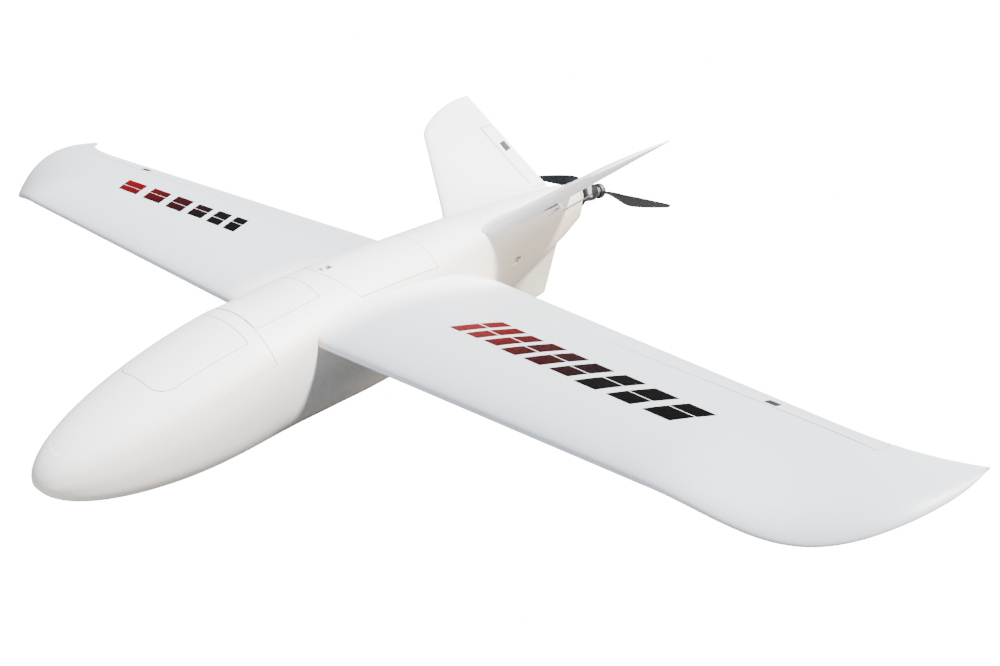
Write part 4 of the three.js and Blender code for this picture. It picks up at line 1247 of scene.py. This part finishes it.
# ---------------------------------------------------------------- printed film
@dataclass
class Graphics:
    """Plain slanted bars on the wings and dark patches on the control surfaces."""

    wing: Wing
    fin: TailFin
    film: float = 0.12
    lift: float = 0.05

    def patch(self, name: str, corners: list, steps: int) -> Piece:
        """A thin film on the left wing's upper face.

        Args:
            name: the object's name.
            corners: four points as x and share of the chord, in order.
            steps: how many steps each edge is divided in.

        Returns:
            The film as a closed thin solid.
        """
        grid = np.linspace(0, 1, steps + 1)
        a, b, c, d = (np.array(p, float) for p in corners)
        points = []
        for level in (self.lift + self.film, self.lift):
            for v in grid:
                for u in grid:
                    x, share = (a * (1 - u) + b * u) * (1 - v) + (d * (1 - u) + c * u) * v
                    points.append(self.wing.at(x, share) + UP * level)
        return self.closed(name, points, steps)

    @staticmethod
    def closed(name: str, points: list, steps: int) -> Piece:
        """A closed thin solid from an upper and a lower grid of points."""
        row = steps + 1
        size = row * row
        last = steps * row
        faces = []
        for v in range(steps):
            for u in range(steps):
                i = v * row + u
                faces.append((i, i + 1, i + row + 1, i + row))
                faces.append((size + i, size + i + row, size + i + row + 1, size + i + 1))
        rim = [*range(row), *range(row + steps, last + row, row), *range(last + steps - 1, last - 1, -1),
               *range(last - row, 0, -row)]
        for i, j in zip(rim, rim[1:] + rim[:1]):
            faces.append((i, j, size + j, size + i))
        return make_object(name, np.array(points), faces)

    def bars(self, name: str, start: float, end: float, shares: tuple, count: int,
             slant: float) -> Piece:
        """A row of slanted bars, each parted by a thin slit, that grow wider outboard."""
        films = []
        front, rear = shares
        widths = np.linspace(0.72, 1.28, count)
        edges = start + (end - start) * np.concatenate([[0], np.cumsum(widths)]) / widths.sum()
        for k in range(count):
            x0, x1 = edges[k], edges[k + 1] - 0.30 * (edges[k + 1] - edges[k])
            trim = 0.022 * (k % 3)
            split = 0.50 + 0.05 * (-1) ** k
            for low, high in ((0.0 + trim, split - 0.016), (split + 0.016, 1.0 - trim)):
                corners = [(x + slant * v, mix(front, rear, v)) for x, v in
                           ((x0, low), (x1, low), (x1, high), (x0, high))]
                films.append(self.patch(f"{name}_film", corners, 8))
        return joined(name, films)

    def fin_patch(self, name: str) -> Piece:
        """The dark patch on the left ruddervator."""
        points = []
        steps = 6
        for level in (self.lift + self.film, self.lift):
            for v in np.linspace(0, 1, steps + 1):
                for u in np.linspace(0, 1, steps + 1):
                    x = mix(84, 97, u) + 2 * v
                    le, te = self.fin.edges(x)
                    share = mix(0.885, 0.965, v)
                    chord = te - le
                    rise = self.fin.section.rise(share, 1, float(np.linalg.norm(chord)))
                    points.append(le + chord * share + self.fin.up * (rise + level))
        return self.closed(name, points, steps)

    def build(self, fitter: Fitter) -> None:
        """Makes and fits all the printed film."""
        left = self.bars("wing_bars_left", 172, 470, (0.35, 0.57), 9, 26)
        fitter.fit(left, "airframe", "left_bars", "printed_film")
        spare = self.bars("wing_bars_spare", 214, 440, (0.42, 0.62), 6, 30)
        right = duplicate(spare, "wing_bars_right", mirrored=True)
        bpy.data.objects.remove(spare)
        fitter.fit(right, "airframe", "right_bars", "printed_film")
        patch = self.patch("aileron_patch", [(492, 0.905), (505, 0.905), (507, 0.955), (494, 0.955)], 6)
        fitter.both_sides(patch, "aileron", "dark_film", "printed_film")
        fitter.both_sides(self.fin_patch("ruddervator_patch"), "ruddervator", "dark_film", "printed_film")


# ---------------------------------------------------------------- power train
@dataclass
class PowerTrain:
    """Motor and propeller, turned about a thrust line that falls aft."""

    height: float = 38.5
    tilt: float = math.radians(6.5)
    bulkhead_y: float = 515.3
    mount_y: float = 518.6
    mount_r: float = 20.0
    bulkhead_r: float = 18.5
    bell_r: float = 12.5
    bell_length: float = 40.0
    flange: float = 9.7
    hub_length: float = 10.0
    radius: float = 123.0
    rest: float = math.radians(3.5)
    pitch: float = 140.0
    chords: tuple = (8.0, 18.0, 4.5)
    best_share: float = 0.4
    hub_r: float = 11.0
    shaft_r: float = 2.5
    vents: int = 6
    bolt_circle: float = 12.5

    @property
    def bell_y(self) -> float:
        """Front of the bell."""
        return self.mount_y + 7.0

    @property
    def adapter_y(self) -> float:
        """Front of the propeller adapter."""
        return self.bell_y + self.bell_length + 0.3

    @property
    def prop_y(self) -> float:
        """Front of the propeller's hub."""
        return self.adapter_y + self.flange + 0.3

    @property
    def nut_y(self) -> float:
        """Front of the nut."""
        return self.prop_y + self.hub_length + 0.3

    def place(self) -> np.ndarray:
        """The turn that lays the thrust line down."""
        return rotation(np.array([1.0, 0.0, 0.0]), -self.tilt, np.array([0, self.mount_y, self.height]))

    def turn(self, name: str, profile: list, sides: int = 72, tilted: bool = True) -> Piece:
        """A turned piece on the thrust line."""
        return turned(name, profile, (0.0, self.height), sides, self.place() if tilted else None)

    def blade(self, angle: float) -> Piece:
        """One blade, turned about the hub."""
        middle = self.prop_y + self.hub_length / 2
        rings = []
        for t in np.linspace(0, 1, 56):
            r = mix(4, self.radius, t)
            out, beyond = clamp01(t / self.best_share), clamp01((t - self.best_share) / (1 - self.best_share))
            chord = mix(mix(self.chords[0], self.chords[1], smooth(out)), self.chords[2], beyond ** 1.25)
            chord *= math.sqrt(max(1 - smooth(t, 0.965, 1.0) ** 2 * 0.85, 0.02))
            pitch = math.atan(self.pitch / (2 * math.pi * max(r, 16)))
            along = np.array([0, math.sin(pitch), -math.cos(pitch)])
            up = np.array([0, math.cos(pitch), math.sin(pitch)])
            ahead = mix(0.5, 0.12, clamp01(t * 3))
            centre = np.array([r, middle, self.height])
            section = Aerofoil(0.2 - 0.1 * t, 0.03, 0.9)
            le, te = centre - along * chord * ahead, centre + along * chord * (1 - ahead)
            rings.append(section.ring(le, te, up, 16))
        spin = rotation(AFT, angle, np.array([0, middle, self.height]))
        return loft("blade", rings, self.place() @ spin)

    def fit_turned(self, fitter: Fitter, name: str, profile: list, where: tuple, sides: int = 72) -> None:
        """Turns a piece and fits it. where is its body, finish, slot and node."""
        fitter.fit(self.turn(name, profile, sides), *where)

    def build(self, fitter: Fitter) -> None:
        """Makes and fits the mount, the motor and the propeller."""
        self.build_mount(fitter)
        self.build_motor(fitter)
        a = self.adapter_y
        end = a + self.flange
        adapter = [(2.8, a), (7, a), (8, a + 1), (8, a + 2.6), (6.4, a + 3.2), (6.4, a + 6.2), (8, a + 6.8),
                   (8, end - 0.5), (7.5, end), (2.8, end)]
        self.fit_turned(fitter, "propeller_adapter", adapter,
                        ("propeller", "aluminium", "aluminium", "prop_adapter"))
        self.build_propeller(fitter)
        n = self.nut_y
        nut = [(2.8, n), (6.2, n), (6.5, n + 0.5), (6.5, n + 4), (5.9, n + 4.6), (5.4, n + 6.2),
               (4.2, n + 7.8), (2.4, n + 8.7), (2.8, n + 7.5)]
        self.fit_turned(fitter, "propeller_nut", nut, ("propeller", "aluminium", "aluminium", "prop_nut"), 6)

    def build_mount(self, fitter: Fitter) -> None:
        """Makes and fits the plate behind the fuselage and the tilted mount ring with its screws."""
        m, y, r = self.mount_y, self.bulkhead_y, self.bulkhead_r
        plate_profile = [(4, y), (r - 0.8, y), (r, y + 0.8), (r, m - 0.9), (r - 0.6, m - 0.3), (4, m - 0.3)]
        spacer = self.turn("motor_spacer", plate_profile, tilted=False)
        fitter.fit(spacer, "airframe", "white_plastic", "white_plastic", "motor_bulkhead")
        r = self.mount_r
        ring_profile = [(4, m + 1.2), (r - 0.8, m + 2.3), (r, m + 3.0), (r, m + 5.2), (r - 0.8, m + 6),
                        (15, m + 6), (14.4, m + 5.2), (10.4, m + 5.2), (9.8, m + 6), (4, m + 6)]
        front_profile = [(4, m), (r - 1.2, m), (r - 0.4, m + 0.8), (r - 0.4, m + 1.6), (4, m + 1.6)]
        ring = self.turn("ring", ring_profile)
        front = self.turn("front", front_profile, tilted=False)
        bolts = [self.bolt(math.pi / 4 + k * math.pi / 2) for k in range(4)]
        mount = joined("motor_mount_ring", [ring, front, *bolts])
        fitter.fit(mount, "airframe", "black_metal", "motor_black", "motor_mount")

    def build_motor(self, fitter: Fitter) -> None:
        """Makes and fits the motor's can, core and axle."""
        m, b = self.mount_y, self.bell_y
        end = b + self.bell_length
        r = self.bell_r
        can = [(r - 1.6, b), (r - 0.5, b), (r, b + 0.6), (r, b + 5), (r - 0.5, b + 5.6), (r - 0.5, b + 6.6),
               (r, b + 7.2), (r, end - 12), (r - 0.5, end - 11.4), (r - 0.5, end - 10.4), (r, end - 9.8),
               (r, end - 3.6), (r - 1, end - 1.2), (r - 3, end), (2.8, end), (2.8, end - 4),
               (r - 1.6, end - 4)]
        bell = self.turn("motor_can", can, 96)
        for k in range(self.vents):
            turn = rotation(AFT, k * TAU / self.vents, np.array([0, 0, self.height]))
            carve(bell, block((5.2, end - 5.5, self.height - 1.5), (9.6, end + 2, self.height + 1.5),
                              self.place() @ turn))
        fitter.fit(bell, "propeller", "black_metal", "motor_black", "motor_bell")
        core = [(2.8, m + 6.3), (7, m + 6.3), (7, b + 4), (10.1, b + 5), (10.1, end - 10), (2.8, end - 10)]
        self.fit_turned(fitter, "motor_core", core, ("airframe", "copper", "steel", "motor_stator"))
        last, r = self.nut_y + 7, self.shaft_r
        axle = [(ON_AXIS, m + 3), (r - 0.4, m + 3), (r, m + 3.4), (r, last - 0.5), (r - 0.5, last),
                (ON_AXIS, last)]
        self.fit_turned(fitter, "motor_axle", axle, ("propeller", "steel", "steel", "motor_shaft"))

    def bolt(self, angle: float) -> Piece:
        """A socket screw in the mount."""
        x, z = self.bolt_circle * math.cos(angle), self.height + self.bolt_circle * math.sin(angle)
        y = self.mount_y + 5.0
        profile = [(ON_AXIS, y), (2.6, y), (2.6, y + 1.7), (2.2, y + 2.1), (1.3, y + 2.1), (1.3, y + 0.9),
                   (ON_AXIS, y + 0.9)]
        return turned("bolt", profile, (x, z), 24, self.place())

    def build_propeller(self, fitter: Fitter) -> None:
        """Makes and fits the two-bladed propeller."""
        p, e = self.prop_y, self.prop_y + self.hub_length
        r = self.hub_r
        hub = self.turn("hub", [(2.8, p), (r - 1.2, p), (r, p + 1.2), (r, e - 1.8), (r - 1.8, e), (7.6, e),
                                (7.2, e - 0.8), (2.8, e - 0.8)])
        blades = [self.blade(self.rest * -1), self.blade(math.pi - self.rest)]
        propeller = joined("propeller_blades", [hub, *blades])
        fitter.fit(propeller, "propeller", "propeller_plastic", "propeller_plastic", "propeller", sharp=45)


# ---------------------------------------------------------------- equipment and linkage
KEPT_NODES: dict[str, tuple] = {
    "black_plastic": ("servo_aileron", "servo_tail"),
    "white_plastic": ("servo_arm_aileron", "servo_arm_tail", "control_horn_aileron", "control_horn_tail",
                      "rear_hatch_latch"),
    "grey_plastic": ("gps_module",),
    "steel": ("pushrod_aileron", "pushrod_tail"),
    "carbon": ("main_spar", "rear_pin"),
    "plywood": ("equipment_tray", "spar_bulkhead"),
    "wrap": ("battery", "speed_controller"),
    "webbing": ("battery_strap",),
    "board": ("flight_controller", "radio_receiver"),
}


def dress_kept_nodes(fitter: Fitter) -> None:
    """Gives each CAD node that stays in view its finish."""
    for finish, stems in KEPT_NODES.items():
        for stem in stems:
            for node in (stem, f"{stem}_{Side.LEFT.value}", f"{stem}_{Side.RIGHT.value}"):
                if node in frame["nodes"]:
                    fitter.dress_node(node, finish)


# ---------------------------------------------------------------- finishes, floor, light and camera
# The side colour and the paler top colour are lit and shaded copies of one foam: the top colour is a painted
# highlight.
SIDE_WHITE = (0.63, 0.58, 0.525)
PAINTED_TOP_LIGHT_WHITE = (0.88, 0.88, 0.92)
WING_WHITE = (0.55, 0.585, 0.64)
# Painted shade: a beige for the low rear of the fuselage under the fin.
PAINTED_SHADE_BEIGE = (0.50, 0.44, 0.35)
DARK_RED = (0.02, 0.0004, 0.001)
NEAR_BLACK = (0.0012, 0.0008, 0.0008)
FINISHES: dict = {
    # The body foam's paler top is a painted highlight and its beige low rear is painted shade.
    "body_foam": Foam("body_foam", SIDE_WHITE, painted_top_light=PAINTED_TOP_LIGHT_WHITE, outboard=WING_WHITE, rear=PAINTED_SHADE_BEIGE),
    "keel_foam": Foam("keel_foam", (0.43, 0.39, 0.32)),
    "wing_foam": Foam("wing_foam", WING_WHITE),
    "tail_foam": Foam("tail_foam", (0.87, 0.865, 0.88)),
    "black_plastic": Plastic("black_plastic", (0.018, 0.018, 0.02)),
    "grey_plastic": Plastic("grey_plastic", (0.05, 0.052, 0.056)),
    "white_plastic": Plastic("white_plastic", (0.72, 0.71, 0.69), 0.35),
    "propeller_plastic": Plastic("propeller_plastic", (0.034, 0.035, 0.037), 0.4, grain=700.0),
    "wrap": Plastic("wrap", (0.03, 0.06, 0.17), 0.28, coat=0.4),
    "board": Plastic("board", (0.015, 0.045, 0.07), 0.35, coat=0.3),
    "black_metal": Metal("black_metal", (0.03, 0.03, 0.033), 0.34, metallic=0.6),
    "aluminium": Metal("aluminium", (0.62, 0.63, 0.65), 0.28),
    "steel": Metal("steel", (0.5, 0.5, 0.51), 0.25),
    "copper": Metal("copper", (0.5, 0.25, 0.12), 0.35),
    "plywood": Plywood("plywood"),
    "carbon": Woven("carbon", (0.012, 0.012, 0.013), (0.03, 0.03, 0.033), 0.3, 2.0, coat=0.6),
    "webbing": Woven("webbing", (0.02, 0.02, 0.024), (0.045, 0.045, 0.05), 0.9, 0.8),
    "left_bars": Decal("left_bars", (0.085, 0.0003, 0.0008), DARK_RED, NEAR_BLACK, 190, 360),
    "right_bars": Decal("right_bars", (0.08, 0.0003, 0.0008), DARK_RED, NEAR_BLACK, -440, -290),
    "dark_film": Plastic("dark_film", (0.008, 0.008, 0.016), 0.5),
}


@dataclass
class Studio:
    """A pale floor, soft light and the camera."""

    eye: tuple = (811.6, -594.0, 462.1)
    forward: tuple = (-0.584, 0.6919, -0.4246)
    up: tuple = (-0.2995, 0.3026, 0.9049)
    lens: float = 36.0
    sensor: float = 36.0
    to_sun: tuple = (0.5, 0.42, 0.86)
    sun_strength: float = 19.0
    sun_angle: float = math.radians(7)
    sky: tuple = (0.66, 0.83, 1.0)
    sky_strength: float = 0.42
    floor_tone: float = 0.14
    floor_light: float = 20.0
    floor_share: float = 0.85
    floor_reach: float = 40.0
    lamp_size: float = 0.5
    lamp_place: tuple = (1500.0, 1250.0, 520.0)
    lamp_aim: tuple = (40.0, 400.0, -10.0)
    lamp_power: float = 50.0
    front_place: tuple = (150.0, -2000.0, 250.0)
    front_aim: tuple = (0.0, -250.0, -60.0)
    front_power: float = 34.0

    def build(self) -> None:
        """Makes the floor, the light and the camera."""
        self.floor()
        self.light()
        self.camera()

    def floor(self) -> None:
        """A wide pale floor under the aircraft, which throws little light back up."""
        mesh = bpy.data.meshes.new("floor")
        corners = [(x * self.floor_reach, y * self.floor_reach, CAD_BOX[0][2])
                   for x, y in ((-1, -1), (1, -1), (1, 1), (-1, 1))]
        mesh.from_pydata(corners, [], [(0, 1, 2, 3)])
        floor = linked("floor", mesh)
        material = bpy.data.materials.new("floor")
        material.use_nodes = True
        tree = material.node_tree
        surface = tree.nodes["Principled BSDF"]
        surface.inputs["Roughness"].default_value = 0.9
        surface.inputs["Base Color"].default_value = (self.floor_tone,) * 3 + (1.0,)
        glow = tree.nodes.new("ShaderNodeEmission")
        glow.inputs["Color"].default_value = (1.0, 1.0, 1.0, 1.0)
        glow.inputs["Strength"].default_value = self.floor_light
        blend = tree.nodes.new("ShaderNodeMixShader")
        rays = tree.nodes.new("ShaderNodeLightPath")
        share = tree.nodes.new("ShaderNodeMath")
        share.operation = "MULTIPLY"
        share.inputs[1].default_value = self.floor_share
        wire(tree, [(rays, "Is Camera Ray", share, 0), (share, "Value", blend, "Fac"),
                    (surface, "BSDF", blend, 1), (glow, "Emission", blend, 2),
                    (blend, "Shader", tree.nodes["Material Output"], "Surface")])
        mesh.materials.append(material)

    def light(self) -> None:
        """A soft sun from above and behind, and an even pale sky."""
        lamp = bpy.data.lights.new("sun", "SUN")
        lamp.energy = self.sun_strength
        lamp.angle = self.sun_angle
        lamp.color = (1.0, 0.965, 0.92)
        linked("sun", lamp).rotation_euler = Vector(self.to_sun).to_track_quat("Z", "Y").to_euler()
        self.softbox("rear lamp", self.lamp_place, self.lamp_aim, self.lamp_power, (1.0, 0.93, 0.84))
        self.softbox("front lamp", self.front_place, self.front_aim, self.front_power, (0.97, 0.97, 1.0))
        world = bpy.data.worlds.new("sky")
        world.use_nodes = True
        background = world.node_tree.nodes["Background"]
        background.inputs["Color"].default_value = (*self.sky, 1.0)
        background.inputs["Strength"].default_value = self.sky_strength
        bpy.context.scene.world = world

    def softbox(self, name: str, place: tuple, aim: tuple, power: float, colour: tuple) -> None:
        """A round soft lamp at one place, aimed at another."""
        soft = bpy.data.lights.new(name, "AREA")
        soft.shape = "DISK"
        soft.size = self.lamp_size
        soft.energy = power
        soft.color = colour
        start, end = (Vector(((np.array(v) + DATUM) * MM).tolist()) for v in (place, aim))
        turn = (start - end).to_track_quat("Z", "Y").to_matrix().to_4x4()
        linked(name, soft).matrix_world = Matrix.Translation(start) @ turn

    def camera(self) -> None:
        """The camera ahead of the left wing, a little above the aircraft."""
        lens = bpy.data.cameras.new("camera")
        lens.lens = self.lens
        lens.sensor_width = self.sensor
        lens.clip_end = 100.0
        camera = linked("camera", lens)
        forward = Vector(self.forward).normalized()
        up = Vector(self.up)
        right = forward.cross(up).normalized()
        up = right.cross(forward)
        place = Matrix((right, up, -forward)).transposed().to_4x4()
        place.translation = Vector(((np.array(self.eye) + DATUM) * MM).tolist())
        camera.matrix_world = place
        bpy.context.scene.camera = camera


def main() -> None:
    """Builds every sub-assembly and reports each piece."""
    logging.basicConfig(level=logging.INFO, format="%(name)s: %(message)s")
    fitter = Fitter(FINISHES)
    fuselage = Fuselage()
    wing = Wing()
    fin = TailFin()
    fuselage.build(fitter, WingRoot(wing, fuselage))
    wing.build(fitter)
    fin.build(fitter)
    KeelFin(fuselage).build(fitter)
    Graphics(wing, fin).build(fitter)
    PowerTrain().build(fitter)
    dress_kept_nodes(fitter)
    Studio().build()


if __name__ == "__main__":
    main()
